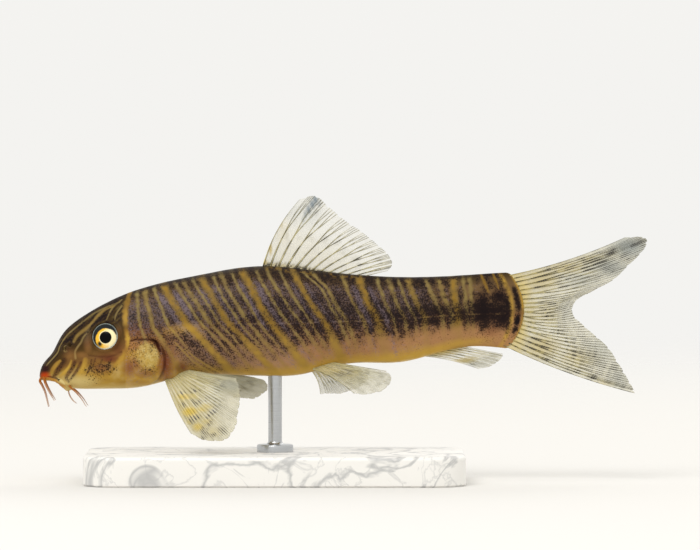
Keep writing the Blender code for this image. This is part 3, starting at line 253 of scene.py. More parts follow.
# Fins. A tip row is s, y, h, from the leading ray back, and the bow bends the first and last rays.
# Splits are where the rays fork on their way out, and spreads how far apart the forks end, in shares
# of the gap between rays. Edge is how dark the rays' edges are, paired how far out they stay two
# lines, tint how much of the rays' colour the membrane has, fringe how dark the specks at the base
# are, and line half the width of a dark line in mm. Marks are share across the fin, share along its
# rays, half reaches, strength; those that end in _at are s, h, half length, half height, strength.
FIN_ROOT_SUNK = 0.55
MEMBRANE_THICK = 0.09
RAY_RIDGE = 0.2
ROOT_SWELLING = 0.25
MEMBRANE_RIPPLE = 0.07
NOTCH = 0.012
NOTCH_UNEVEN = 0.008
FIN_USUAL = {
    "splits": (0.2, 0.5), "spreads": (0.25, 0.125), "paired": 0.0, "fringe": 0.0, "dark": (), "dark_at": (),
    "yellow": (), "yellow_at": (), "smoke_and_shade": (), "smoke_and_shade_at": (),
}
FINS = {
    "dorsal_fin": {
        "rays": 13, "columns": 44, "rows": 100, "bow": (0.7, 0.0), "milk": 0.7,
        "splits": (0.42, 0.62), "spreads": (0.19, 0.095), "edge": 0.85,
        "paired": 0.5, "tint": 0.1, "fringe": 1.0, "line": 0.065,
        "tips": (
            (34.3, 0.0, 23.7), (36.3, 0.1, 24.1), (38.2, 0.2, 22.6), (40.3, 0.3, 20.8), (42.2, 0.4, 19.6),
            (43.8, 0.5, 18.3), (45.3, 0.5, 17.0), (46.2, 0.5, 15.9), (46.4, 0.4, 15.0), (45.9, 0.3, 14.25),
        ),
        "dark": ((0.5, 0.06, 0.6, 0.1, 1.0), (0.5, 0.4, 0.6, 0.3, 0.3)),
        "dark_at": (
            (37.0, 23.1, 0.3, 0.7, 1.0), (36.5, 22.2, 0.35, 1.0, 0.8), (31.3, 18.7, 0.4, 0.9, 0.8),
            (32.6, 18.7, 0.4, 1.0, 0.8), (32.7, 21.8, 0.5, 0.7, 0.5), (33.6, 21.0, 0.5, 0.6, 0.5),
            (34.2, 18.9, 0.5, 1.0, 0.7), (35.8, 18.5, 0.6, 0.8, 0.8),
            (37.6, 18.3, 0.7, 0.7, 0.9), (39.2, 17.8, 0.8, 0.7, 0.9), (40.3, 16.7, 1.0, 0.6, 1.0),
            (41.6, 15.9, 0.9, 0.5, 1.0), (42.2, 15.1, 0.8, 0.35, 1.0), (43.2, 14.2, 0.7, 0.25, 1.0),
        ),
        "yellow": ((0.4, 0.25, 0.7, 0.4, 0.15),),
        "yellow_at": (
            (30.4, 17.1, 0.3, 1.0, 0.7), (29.6, 15.3, 0.5, 0.6, 0.7), (31.9, 20.2, 0.3, 0.8, 0.4),
            (32.0, 19.4, 1.2, 3.0, 0.2),
        ),
        "smoke_and_shade_at": (
            (36.3, 23.6, 0.55, 0.9, 1.2), (35.9, 23.0, 0.55, 0.9, 1.2), (35.4, 22.3, 0.5, 0.9, 1.1),
            (35.0, 21.7, 0.4, 0.8, 0.9), (34.7, 21.0, 0.35, 0.8, 0.6), (36.8, 23.1, 0.3, 0.8, 0.8),
            (35.6, 22.0, 2.2, 2.4, 0.35), (33.5, 22.0, 1.0, 2.0, 0.3),
        ),
    },
    "tail_fin": {
        "rays": 19, "columns": 44, "rows": 120, "bow": (-0.55, -0.5), "milk": 1.3,
        "splits": (0.12, 0.45), "spreads": (0.25, 0.125), "edge": 1.0, "tint": 0.35,
        "fringe": 0.9, "line": 0.1,
        "tips": (
            (77.1, 0.8, 18.65), (79.2, 0.9, 18.72), (80.0, 0.9, 18.2), (79.4, 0.8, 16.8), (77.6, 0.7, 15.0),
            (75.5, 0.6, 13.0), (73.2, 0.4, 11.8), (71.4, 0.2, 10.9), (70.3, 0.1, 9.8), (70.3, 0.0, 8.4),
            (71.6, 0.0, 7.1), (73.3, -0.1, 5.6), (75.0, -0.3, 4.0), (76.2, -0.4, 2.1), (77.2, -0.6, 0.5),
            (78.0, -0.7, -1.0), (78.3, -0.8, -1.85),
        ),
        "dark": ((0.5, 0.07, 0.9, 0.05, 0.6),),
        "dark_at": (
            (67.2, 14.6, 1.1, 0.5, 1.0), (65.4, 12.5, 1.2, 0.9, 0.8), (71.5, 15.9, 1.5, 0.45, 0.9),
            (69.1, 12.1, 1.2, 0.5, 0.85), (72.2, 14.4, 1.1, 0.4, 1.0), (75.2, 17.0, 1.1, 0.8, 0.95),
            (75.4, 14.3, 1.2, 0.5, 0.85), (73.2, 13.4, 1.1, 0.5, 0.5), (70.2, 13.5, 1.2, 0.5, 0.4),
            (78.6, 18.0, 1.8, 0.7, 0.4), (77.2, 15.9, 1.6, 0.7, 0.5), (67.0, 10.0, 1.1, 0.35, 1.0),
            (66.5, 9.25, 0.7, 0.25, 0.8), (67.0, 8.4, 1.1, 0.3, 0.8), (67.7, 11.0, 1.3, 0.4, 0.9),
            (68.2, 6.2, 0.9, 0.25, 1.0), (64.7, 4.7, 1.6, 1.0, 0.9), (66.9, 3.0, 1.3, 0.8, 1.0),
            (69.8, 1.0, 1.1, 0.7, 1.0), (70.3, 3.5, 1.3, 0.6, 0.8), (73.2, 3.0, 1.3, 1.0, 0.6),
            (72.7, 0.0, 1.3, 0.7, 0.8), (76.3, -1.5, 1.7, 0.5, 0.8), (71.0, 5.2, 2.0, 0.4, 0.5),
            (69.5, 15.6, 3.5, 0.6, 0.9), (73.5, 17.0, 3.0, 0.6, 0.9), (74.5, 5.0, 1.5, 1.0, 0.4),
            (67.0, 4.4, 4.0, 0.8, 0.8), (68.0, 13.3, 3.0, 0.6, 0.7), (75.5, 1.5, 1.5, 1.2, 0.4),
            (71.0, 14.6, 2.5, 0.6, 0.5), (73.8, 15.3, 1.5, 0.7, 0.6),
        ),
        "yellow": ((0.5, 0.08, 0.8, 0.12, 0.7),),
        "yellow_at": (
            (65.8, 13.1, 2.8, 1.8, 0.4), (69.1, 14.7, 3.4, 1.0, 0.3), (72.2, 15.7, 2.8, 0.8, 0.2),
            (65.8, 4.3, 2.8, 1.8, 0.42), (71.0, 2.8, 2.8, 1.5, 0.25), (64.4, 8.8, 1.4, 3.2, 0.3),
            (66.5, 8.8, 2.2, 2.0, 0.2), (74.0, -0.6, 2.0, 0.5, 0.25),
        ),
        "smoke_and_shade_at": (
            (77.6, 17.4, 3.0, 1.8, 0.8), (75.2, 14.7, 3.0, 1.6, 0.6), (71.5, 13.0, 3.0, 1.2, 0.4),
            (69.5, 8.9, 1.2, 2.0, 0.25), (74.0, 3.8, 3.0, 2.5, 0.35), (76.4, 0.1, 2.0, 1.8, 0.4),
        ),
    },
    "anal_fin": {
        "rays": 8, "columns": 26, "rows": 90, "bow": (-0.35, 0.0), "milk": 0.55,
        "splits": (0.35, 0.6), "spreads": (0.22, 0.11), "edge": 0.5, "tint": 0.3, "line": 0.07,
        "tips": ((57.8, 0.2, 1.3), (59.2, 0.25, 1.6), (60.2, 0.25, 2.2), (60.9, 0.2, 2.8), (61.0, 0.2, 3.3)),
        "dark": ((0.5, 0.22, 0.6, 0.14, 0.9), (0.4, 0.42, 0.5, 0.1, 0.7), (0.05, 0.85, 0.1, 0.12, 0.9)),
        "yellow": ((0.5, 0.1, 0.8, 0.3, 0.8), (0.2, 0.66, 0.3, 0.12, 0.6)),
        "smoke_and_shade": ((0.2, 0.85, 0.4, 0.2, 0.3),),
    },
    "pectoral_fin_left": {
        "rays": 13, "columns": 32, "rows": 100, "bow": (0.35, 0.0), "milk": 1.1,
        "edge": 0.7, "tint": 0.6, "line": 0.07,
        "tips": (
            (20.1, -7.3, -6.85), (22.3, -8.0, -7.75), (24.5, -8.1, -7.6), (25.8, -7.6, -6.2),
            (26.2, -7.0, -4.4), (26.5, -6.4, -2.6), (26.4, -5.7, -1.0), (26.0, -5.1, 0.3),
        ),
        "dark": ((0.6, 0.7, 0.5, 0.08, 0.2),),
        "dark_at": (
            (18.8, -3.3, 0.6, 0.4, 1.0), (18.8, -1.7, 0.5, 0.3, 0.8), (20.7, -2.9, 0.8, 0.5, 0.7),
            (20.9, -5.0, 0.8, 0.5, 0.8), (20.0, -5.1, 0.6, 0.5, 0.8), (22.6, -4.9, 0.6, 0.6, 0.8),
            (22.3, -5.8, 0.5, 0.5, 0.8), (21.9, -6.5, 0.7, 0.6, 0.9), (22.8, -7.1, 1.0, 0.6, 0.8),
            (20.6, -1.4, 0.7, 0.4, 0.6), (22.0, -2.4, 0.6, 0.4, 0.6), (23.2, -4.2, 0.8, 0.5, 0.6),
            (24.4, -6.4, 1.0, 0.6, 0.5), (21.5, -7.3, 0.9, 0.3, 0.8), (24.5, -1.6, 1.2, 0.4, 0.3),
        ),
        "yellow": ((0.4, 0.2, 0.7, 0.35, 0.3), (0.15, 0.5, 0.3, 0.5, 0.35)),
        "yellow_at": (
            (19.1, -2.2, 1.3, 0.6, 0.9), (19.9, -4.1, 1.3, 0.8, 1.1), (21.4, -3.8, 1.3, 0.5, 0.6),
            (21.0, -6.0, 1.0, 0.7, 0.8), (19.9, -5.4, 0.6, 0.5, 0.5), (22.1, -3.4, 1.2, 0.5, 0.5),
            (22.1, -5.3, 1.0, 0.6, 0.5), (20.2, -2.1, 1.2, 0.6, 0.5), (23.0, -6.6, 1.4, 0.9, 0.3),
        ),
        # On this fin the smoke patch by the belly is painted shade: the shadow under the body, seen through
        # the clear fin.
        "smoke_and_shade_at": ((25.2, -0.6, 2.4, 1.2, 0.4),),
    },
    "pectoral_fin_right": {
        "rays": 13, "columns": 30, "rows": 100, "bow": (-0.9, 0.0), "milk": 1.1,
        "edge": 0.45, "tint": 0.7, "line": 0.07,
        "tips": (
            (25.6, 9.8, -2.9), (28.0, 9.4, -3.0), (29.5, 8.5, -2.2), (30.0, 7.4, -1.3),
            (29.6, 6.2, -0.6), (28.4, 5.2, -0.1), (26.4, 4.6, 0.1),
        ),
        "dark": ((0.1, 0.43, 0.3, 0.06, 0.6), (0.24, 0.62, 0.26, 0.07, 0.5), (0.36, 0.8, 0.3, 0.07, 0.3)),
        "yellow": ((0.1, 0.34, 0.34, 0.07, 0.9), (0.12, 0.53, 0.36, 0.08, 0.9), (0.5, 0.15, 0.6, 0.3, 0.4)),
        "smoke_and_shade": ((0.5, 0.75, 0.9, 0.5, 0.2),),
    },
    "pelvic_fin_left": {
        "rays": 9, "columns": 24, "rows": 90, "bow": (-0.4, 0.0), "milk": 0.8,
        "edge": 0.6, "tint": 0.35, "line": 0.065,
        "tips": (
            (41.4, -5.6, -1.7), (43.4, -5.4, -1.75), (45.0, -4.8, -1.35), (46.0, -4.1, -0.6),
            (46.3, -3.5, 0.4), (45.6, -2.9, 1.2),
        ),
        "dark": ((0.4, 0.42, 0.4, 0.1, 0.5), (0.6, 0.22, 0.4, 0.1, 0.4)),
        "yellow": ((0.5, 0.15, 0.7, 0.35, 0.45), (0.55, 0.5, 0.4, 0.1, 0.25)),
        "smoke_and_shade": ((0.4, 0.7, 0.8, 0.4, 0.12),),
    },
    "pelvic_fin_right": {
        "rays": 9, "columns": 24, "rows": 90, "bow": (-0.4, 0.0), "milk": 0.8,
        "edge": 0.45, "tint": 0.3, "line": 0.065,
        "tips": (
            (36.9, 8.3, -2.3), (38.9, 8.1, -2.3), (40.9, 7.2, -1.9), (42.3, 6.1, -1.2),
            (43.2, 5.0, -0.3), (43.2, 4.0, 0.5),
        ),
        "dark": ((0.45, 0.6, 0.5, 0.08, 0.3),),
        "yellow": ((0.5, 0.15, 0.7, 0.35, 0.5),),
        "smoke_and_shade": ((0.4, 0.75, 0.8, 0.4, 0.3),),
    },
}
DORSAL_ROOT = (29.2, 41.4)
ANAL_ROOT = (49.2, 54.6)
PECTORAL_ROOT = ((16.55, -0.05), (18.9, 1.0))
PELVIC_ROOT = ((35.4, 1.15), (37.7, 1.95))

# Barbels: paths of s, y away from the midline, h, with the radius along them.
SNOUT_BARBELS = (
    ((0.45, 0.72, 0.4), (0.05, 0.75, -0.2), (0.36, 0.85, -0.86), (0.76, 1.0, -1.8), (1.2, 1.25, -3.6)),
    ((0.6, 0.95, 0.3), (0.8, 1.2, -0.55), (1.35, 1.6, -1.66), (2.0, 2.0, -2.75)),
)
CORNER_BARBELS = (
    ((3.85, 1.35, -0.6), (4.2, 1.75, -1.1), (4.85, 2.15, -1.65), (5.6, 2.55, -2.5), (6.25, 2.9, -3.5)),
)
CHIN_BARBELS = (((3.75, 0.6, -1.2), (3.9, 0.7, -2.0), (4.3, 0.85, -2.7), (4.85, 0.95, -3.2)),)
BARBEL_RADII = (0.19, 0.14, 0.12, 0.09, 0.05)
BARBEL_RINGS = 56
BARBEL_SIDES = 16
# The right side's barbels hang lower, by this share of their distance from the midline.
BARBEL_DROOP = 0.04

# Stand, about the rod's axis.
ROD_S = 31.0
BASE_LENGTH = 50.0
BASE_WIDTH = 26.0
BASE_HEIGHT = 4.0
BASE_CORNER = 5.0
BASE_CORNER_STEPS = 20
BASE_ROUNDING = 0.6
BASE_FOOT_CHAMFER = 0.25
ROD_RADIUS = 0.9
ROD_TOP = 15.6
ROD_SIDES = 72
ROD_FILLET = 0.5
COLLAR_RADIUS = 2.4
COLLAR_TOP = 5.0
COLLAR_ROUNDING = 0.25
# Turns through the quarter circle of a rounded edge or a fillet, and what counts as a sharp edge.
QUARTER_TURN = [math.pi / 2 * i / 8 for i in range(9)]
SHARP_EDGE = math.radians(40)

# Patterns of the finishes in mm: the real size, or as coarse as it has to be to show in the render.
SKIN_CLOUD = 1.6
SKIN_SCALE = 0.26
IRIS_STREAK = 0.35
RAY_JOINT = 0.3
BARBEL_MOTTLE = 0.4
MARBLE_GRIT = 0.2
STEEL_BRUSHING = 0.06
PAPER_FIBRE = 1.5

# Camera: the view is level with the fish, a little from above, and this wide at the fish.
VIEW_WIDTH = 92.12
VIEW_MIDDLE = (0.99, 27.29)
VIEW_DISTANCE = 900.0
VIEW_ELEVATION = 1.6
SENSOR_WIDTH = 36.0


def linear(code):
    """A hex sRGB colour as linear red, green, blue and alpha."""
    channels = [int(code[i : i + 2], 16) / 255 for i in (1, 3, 5)]
    return (*[c / 12.92 if c <= 0.04045 else ((c + 0.055) / 1.055) ** 2.4 for c in channels], 1.0)


def paint_choice(name, description, code):
    """A colour that the user can change."""
    return FloatVectorProperty(
        name=name, description=description, subtype="COLOR", size=4, min=0.0, max=1.0, default=linear(code)
    )


class LoachSkinPaint(PropertyGroup):
    """Paints of the skin, and how coarse its pigment is."""

    back: paint_choice("Back", "Olive brown along the ridge of the back", "#3d3018")
    upper_flank: paint_choice("Upper flank", "Ground between the lines above the lateral line", "#6f5638")
    middle_flank: paint_choice("Middle flank", "Brown ground along the lateral line", "#7a5433")
    lower_flank: paint_choice("Lower flank", "Warm tan below the lateral line", "#9c6e3d")
    belly: paint_choice("Belly edge", "Yellow along the edge of the belly", "#b8923c")
    underside: paint_choice("Underside", "Pale cream under the belly", "#cdb47a")
    thin_line: paint_choice("Thin lines", "Dull gold of the narrow light lines", "#887848")
    gold_band: paint_choice("Gold bands", "Rich gold of the broad light bands", "#8a6820")
    violet: paint_choice("Violet sheen", "Violet grey beside the gold bands", "#7c6c70")
    wash: paint_choice("Bar wash", "Thin brown wash under the specks of the dark bars", "#2a1c1c")
    pigment: paint_choice("Pigment", "Brown black specks of the dark bars", "#140e10")
    shade: paint_choice("Head wash", "Thin olive brown wash over the head", "#38290c")
    rust: paint_choice("Rust", "Red brown of cheek and gill edge", "#743c28")
    rose: paint_choice("Rose", "Dusty rose tan of the flank below the lateral line", "#aa8466")
    pale: paint_choice("Pale lip", "Cream of the lips and the throat", "#cdb87a")
    red: paint_choice("Snout red", "Red orange at the tip of the snout", "#b23606")
    gill_gold: paint_choice("Gill gold", "Pale metallic gold of the gill cover", "#b89c50")
    # Deep maroon of the gill slit and the tail blotches, also laid on as painted shade in the skin's folds
    # and in the pit behind the pectoral fin.
    slit: paint_choice("Gill slit", "Deep maroon inside the slit and folds", "#34100f")
    speck: FloatProperty(
        name="Speck size", description="Width of one pigment speck", default=0.00015, min=0.00005,
        unit="LENGTH",
    )


class LoachEyePaint(PropertyGroup):
    """Size of the pupil and paints of the eye."""

    pupil: FloatProperty(
        name="Pupil radius", description="Radius of the pupil", default=0.0008, min=0.0002, unit="LENGTH"
    )
    iris: paint_choice("Iris", "Yellow gold on the front half of the iris", "#f0b93a")
    iris_pale: paint_choice("Pale iris", "Cream on the hind half of the iris", "#f4e6b4")
    iris_dark: paint_choice("Dark crescent", "Slate over the upper half of the iris", "#1e2224")
    rim: paint_choice("Rim", "Bluish white round the eye", "#cfd8cf")


class LoachFinCast(PropertyGroup):
    """How clear the fins are, and their paints."""

    clear: FloatProperty(
        name="Membrane opacity", description="How solid the membrane looks", default=0.34, min=0.0, max=1.0,
        subtype="FACTOR",
    )
    membrane: paint_choice("Membrane", "Milky clear membrane", "#dedbcd")
    ray: paint_choice("Rays", "Cream of the fin rays", "#c6bc88")
    yellow: paint_choice("Yellow", "Yellow wash near the bases", "#c0a42a")
    # Also used as painted shade on the near pectoral fin, where the body's shadow shows through it.
    smoke_and_shade: paint_choice("Smoke", "Blue grey towards the tips", "#74828a")
    speck: paint_choice("Specks", "Grey black specks along the rays", "#26221f")


class LoachBarbelPaint(PropertyGroup):
    """Paints of the barbels."""

    root: paint_choice("Root", "Orange brown at the root", "#9a5a1c")
    tip: paint_choice("Tip", "Pale pinkish tan at the tip", "#c0a088")


class LoachStandFinish(PropertyGroup):
    """Colours of the display stand."""

    marble: paint_choice("Marble", "White ground of the marble", "#eae8e3")
    vein: paint_choice("Vein", "Soft grey of the veins", "#b3b3b2")
    steel: paint_choice("Steel", "Colour of the steel", "#a9abad")


class LoachStage(PropertyGroup):
    """Floor and light of the studio."""

    floor: paint_choice("Floor", "Plain pale floor", "#dddbd7")
    tent: FloatProperty(name="Tent light", description="Brightness of the white tent", default=0.92, min=0.0)
    key: FloatProperty(name="Key light", description="Power of the soft key light", default=1.6, min=0.0)


def place(points):
    """Points on the fish, in metres in the model's frame."""
    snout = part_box("head")[0].x
    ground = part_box("torso")[1].z - BACK_HEIGHT * MM
    return np.asarray(points) * MM + (snout, 0.0, ground)


def smooth_line(rows):
    """A natural cubic through rows of distance and value, run in the square root of the distance."""
    at = np.sqrt([row[0] for row in rows])
    value = np.array([row[1] for row in rows])
    step = np.diff(at)
    slope = np.diff(value) / step
    count = len(rows)
    system = np.eye(count)
    bend_terms = np.zeros(count)
    for i in range(1, count - 1):
        system[i, i - 1 : i + 2] = step[i - 1], 2 * (step[i - 1] + step[i]), step[i]
        bend_terms[i] = 6 * (slope[i] - slope[i - 1])
    bend = np.linalg.solve(system, bend_terms)

    def line(distance):
        x = np.sqrt(np.clip(distance, 0.0, rows[-1][0]))
        i = np.clip(np.searchsorted(at, x) - 1, 0, count - 2)
        width = step[i]
        a = (at[i + 1] - x) / width
        b = 1.0 - a
        curved = ((a**3 - a) * bend[i] + (b**3 - b) * bend[i + 1]) * width**2 / 6
        return a * value[i] + b * value[i + 1] + curved

    return line


top_line = smooth_line(TOP_LINE)
bottom_line = smooth_line(BOTTOM_LINE)
half_width = smooth_line(HALF_WIDTHS)
widest_share = smooth_line(WIDEST_SHARE)
upper_squareness = smooth_line(UPPER_SQUARENESS)
lower_squareness = smooth_line(LOWER_SQUARENESS)


def along_rows(distance, rows):
    """The value at a distance on straight lines between rows of distance and value."""
    return np.interp(distance, [row[0] for row in rows], [row[1] for row in rows])


def ramp(value, start, end):
    """0 at the start, 1 at the end, smooth between."""
    share = np.clip((value - start) / (end - start), 0.0, 1.0)
    return share * share * (3 - 2 * share)


def hump(distance, reach):
    """1 at no distance, falling smoothly to 0 at the reach."""
    return (1 - np.clip(np.abs(distance) / reach, 0.0, 1.0) ** 2) ** 2


def grain(x, y, size, seed):
    """Smooth noise from 0 to 1, in cells of a size."""
    values = np.random.default_rng(seed).random((128, 128))
    column, row = np.floor(x / size), np.floor(y / size)
    across, up = x / size - column, y / size - row
    across, up = across**2 * (3 - 2 * across), up**2 * (3 - 2 * up)
    column, row = column.astype(int), row.astype(int)

    def corner(i, j):
        return values[(column + i) % 128, (row + j) % 128]

    low = corner(0, 0) * (1 - across) + corner(1, 0) * across
    high = corner(0, 1) * (1 - across) + corner(1, 1) * across
    return low * (1 - up) + high * up


def spaced_curve(rows, share):
    """Points at shares of the way along a Catmull-Rom curve through rows of numbers."""
    rows = np.array(rows)
    rows = np.vstack([2 * rows[0] - rows[1], rows, 2 * rows[-1] - rows[-2]])
    position = np.asarray(share) * (len(rows) - 3)
    i = np.clip(position.astype(int), 0, len(rows) - 4)
    t = (position - i)[..., None]
    before, start, end, after = rows[i], rows[i + 1], rows[i + 2], rows[i + 3]
    b = end - before
    c = 2 * before - 5 * start + 4 * end - after
    d = -before + 3 * start - 3 * end + after
    return 0.5 * (2 * start + b * t + c * t**2 + d * t**3)


def from_path(s, h, path):
    """Distance over the path's own half width, from points to a smooth path of s, h, half width."""
    course = spaced_curve(path, np.linspace(0.0, 1.0, 6 * len(path)))
    nearest = np.full(s.shape, 1e6)
    for (s0, h0, w0), (s1, h1, w1) in zip(course, course[1:]):
        length = (s1 - s0) ** 2 + (h1 - h0) ** 2
        share = np.clip(((s - s0) * (s1 - s0) + (h - h0) * (h1 - h0)) / length, 0.0, 1.0)
        gap = np.hypot(s - s0 - share * (s1 - s0), h - h0 - share * (h1 - h0))
        nearest = np.minimum(nearest, gap / (w0 + share * (w1 - w0)))
    return nearest


def stroke(s, h, paths, core, edge):
    """Paths drawn with a soft brush: 1 within the core and 0 past the edge, in half widths."""
    return 1 - ramp(np.minimum.reduce([from_path(s, h, path) for path in paths]), core, edge)


def from_curve(points, path):
    """Distance from points to a smooth path in space."""
    course = spaced_curve(path, np.linspace(0.0, 1.0, 60))
    nearest = np.full(points.shape[:-1], 1e6)
    for spot in course:
        nearest = np.minimum(nearest, np.linalg.norm(points - spot, axis=-1))
    return nearest


def oval(x, y, x0, y0, half_x=1.0, half_y=1.0):
    """0 in the middle of an oval, 1 along its edge."""
    return np.hypot((x - x0) / half_x, (y - y0) / half_y)


def patches(x, y, rows):
    """Soft oval patches, each with its middle, half sizes and strength."""
    total = np.zeros(np.shape(x))
    for *place_and_size, strength in rows:
        total = np.maximum(total, strength * hump(oval(x, y, *place_and_size), 1.35))
    return total


def signed_power(base, power):
    return np.copysign(np.abs(base) ** power, base)


def body_points(s, angle):
    """Points of the body. The angle runs from the back, 0, by the left flank to the belly, pi."""
    inside = np.clip(s, 0.0, BODY_END)
    past = np.clip((s - BODY_END) / CLOSING_REACH, 0.0, 1.0)
    top = top_line(inside) - 0.25 * past**2
    bottom = bottom_line(inside) + 0.25 * past**2
    wide = np.maximum(half_width(inside), 0.0) * (0.22 + 0.78 * np.sqrt(1 - past**2))
    middle = bottom + widest_share(inside) * (top - bottom)
    across, up = np.sin(angle), np.cos(angle)
    power = 2.0 / np.where(up > 0, upper_squareness(inside), lower_squareness(inside))
    reach = np.where(up > 0, top - middle, middle - bottom)
    h = middle + reach * signed_power(up, power)
    y = -wide * signed_power(across, power)
    rounding = np.maximum(0.0, inside - TAIL_ROUNDING_STARTS) / (BODY_END - TAIL_ROUNDING_STARTS)
    off_centre = (h - (top + bottom) / 2) / np.maximum((top - bottom) / 2, 1e-6)
    return np.stack([s + TAIL_ROUNDING * rounding**2 * (1.0 - off_centre**2), y, h], axis=-1)


def flank_width(s, h):
    """Half the body's width at a height."""
    top, bottom = top_line(s), bottom_line(s)
    middle = bottom + widest_share(s) * (top - bottom)
    upper = h > middle
    reach = np.where(upper, top - middle, middle - bottom)
    squareness = np.where(upper, upper_squareness(s), lower_squareness(s))
    level = np.minimum(np.abs(h - middle) / reach, 1.0)
    return half_width(s) * (1.0 - level**squareness) ** (1.0 / squareness)


def flank_spot(s, h, side):
    """A point of the flank and the direction out of it."""
    step = 0.05
    along = flank_width(s + step, h) - flank_width(s - step, h)
    up = flank_width(s, h + step) - flank_width(s, h - step)
    out = np.stack([-along, side * 2 * step * np.ones_like(along), -up], axis=-1)
    out = out / np.linalg.norm(out, axis=-1, keepdims=True)
    return np.stack([s, side * flank_width(s, h), h], axis=-1), out


def grid_normals(points, wrap):
    """Unit normals of a grid of points, which may close on itself along its second axis."""
    along = np.gradient(points, axis=0)
    if wrap:
        across = (np.roll(points, -1, axis=1) - np.roll(points, 1, axis=1)) / 2
    else:
        across = np.gradient(points, axis=1)
    normal = np.cross(across, along)
    return normal / np.maximum(np.linalg.norm(normal, axis=-1, keepdims=True), 1e-9)


def ring_faces(rings, facets):
    """Quads between rings of points that each close on themselves."""
    ring, k = np.meshgrid(np.arange(rings - 1), np.arange(facets), indexing="ij")
    here, after = ring * facets + k, ring * facets + (k + 1) % facets
    return np.stack([here, after, after + facets, here + facets], axis=-1).reshape(-1, 4).tolist()


def turned_faces(rings, facets):
    """Faces of a turned form: its rings, then the point that closes the first and that of the last."""
    first, last = rings * facets, (rings - 1) * facets
    around = [(k, (k + 1) % facets) for k in range(facets)]
    faces = ring_faces(rings, facets) + [(first, after, k) for k, after in around]
    return faces + [(first + 1, last + k, last + after) for k, after in around]


def make_piece(name, points, faces, finish, replaced, masks=None, spread=None):
    """One closed mesh of the model, with its masks as attributes, on the model's body."""
    mesh = bpy.data.meshes.new(name)
    mesh.from_pydata(place(points).tolist(), [], faces)
    bm = bmesh.new()
    bm.from_mesh(mesh)
    bmesh.ops.recalc_face_normals(bm, faces=bm.faces)
    bm.to_mesh(mesh)
    bm.free()
    for mask, values in (masks or {}).items():
        attribute = mesh.attributes.new(mask, "FLOAT", "POINT")
        attribute.data.foreach_set("value", np.asarray(values, np.float32).ravel())
    if spread is not None:
        corners = np.empty(len(mesh.loops), np.int32)
        mesh.loops.foreach_get("vertex_index", corners)
        uv = np.asarray(spread)[corners]
        starts = np.empty(len(mesh.polygons), np.int32)
        mesh.polygons.foreach_get("loop_start", starts)
        face = np.repeat(np.arange(len(starts)), np.diff(np.append(starts, len(corners))))
        over_seam = np.maximum.reduceat(uv[:, 1], starts)[face] - uv[:, 1] > 0.6
        uv[over_seam, 1] = 1.0
        layer = mesh.uv_layers.new(name="OFBake")
        layer.uv.foreach_set("vector", uv.astype(np.float32).ravel())
    mesh.shade_smooth()
    mesh.materials.append(finish)
    made = bpy.data.objects.new(name, mesh)
    bpy.context.scene.collection.objects.link(made)
    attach(made, "root")
    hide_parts(*replaced)
    return made


def put(tree, kind, sockets=None, stops=None, **settings):
    """Adds a node with its settings. A socket takes a value, or another node's output as a link."""
    made = tree.nodes.new(kind)
    for name, value in settings.items():
        setattr(made, name, value)
    for socket, value in (sockets or {}).items():
        if isinstance(value, NodeSocket):
            tree.links.new(value, made.inputs[socket])
        else:
            made.inputs[socket].default_value = value
    for i, (position, colour) in enumerate(stops or ()):
        marks = made.color_ramp.elements
        mark = marks[i] if i < 2 else marks.new(position)
        mark.position = position
        mark.color = colour
    return made


def new_finish(name, shader_values):
    """A material whose shader has its constant values set, with its node tree and shader."""
    finish = bpy.data.materials.new(name)
    finish.use_nodes = True
    shader = finish.node_tree.nodes["Principled BSDF"]
    for socket, value in shader_values.items():
        shader.inputs[socket].default_value = value
    return finish, finish.node_tree, shader


def painted(tree, ground, coats):
    """Lays coats of paint over a ground, each through its own mask, weakened where a strength follows."""
    colour = ground
    for mask, paint, *strength in coats:
        for factor in strength:
            mask = put(tree, "ShaderNodeMath", {0: mask, 1: factor}, operation="MULTIPLY").outputs[0]
        colour = put(tree, "ShaderNodeMix", {0: mask, 6: colour, 7: paint}, data_type="RGBA").outputs[2]
    return colour


def masks_of(tree, *names):
    """The outputs that read a mesh's masks."""
    return {n: put(tree, "ShaderNodeAttribute", attribute_name=n).outputs["Fac"] for n in names}


def pigment_and_glint_specks(tree, amount, strength, size, softness):
    """Pigment, and the painted glints of the gill cover, as separate specks: few where the amount is low, run
    together where it is high.
    """
    amount = put(tree, "ShaderNodeMath", {0: amount, 1: strength}, operation="MULTIPLY").outputs[0]
    where = put(tree, "ShaderNodeTexCoord").outputs["Object"]
    cells = put(
        tree, "ShaderNodeTexNoise", {"Vector": where, "Scale": 0.85 / size, "Detail": 1.0, "Roughness": 0.6}
    )
    spread = put(tree, "ShaderNodeMapRange", {0: cells.outputs["Fac"], 1: 0.3, 2: 0.7}).outputs[0]
    more = put(
        tree, "ShaderNodeMath", {0: amount, 1: 1.0 + softness, 2: -1.0}, operation="MULTIPLY_ADD"
    ).outputs[0]
    both = put(tree, "ShaderNodeMath", {0: spread, 1: more}, operation="ADD").outputs[0]
    return put(
        tree, "ShaderNodeMath", {0: both, 1: softness}, operation="DIVIDE", use_clamp=True
    ).outputs[0]


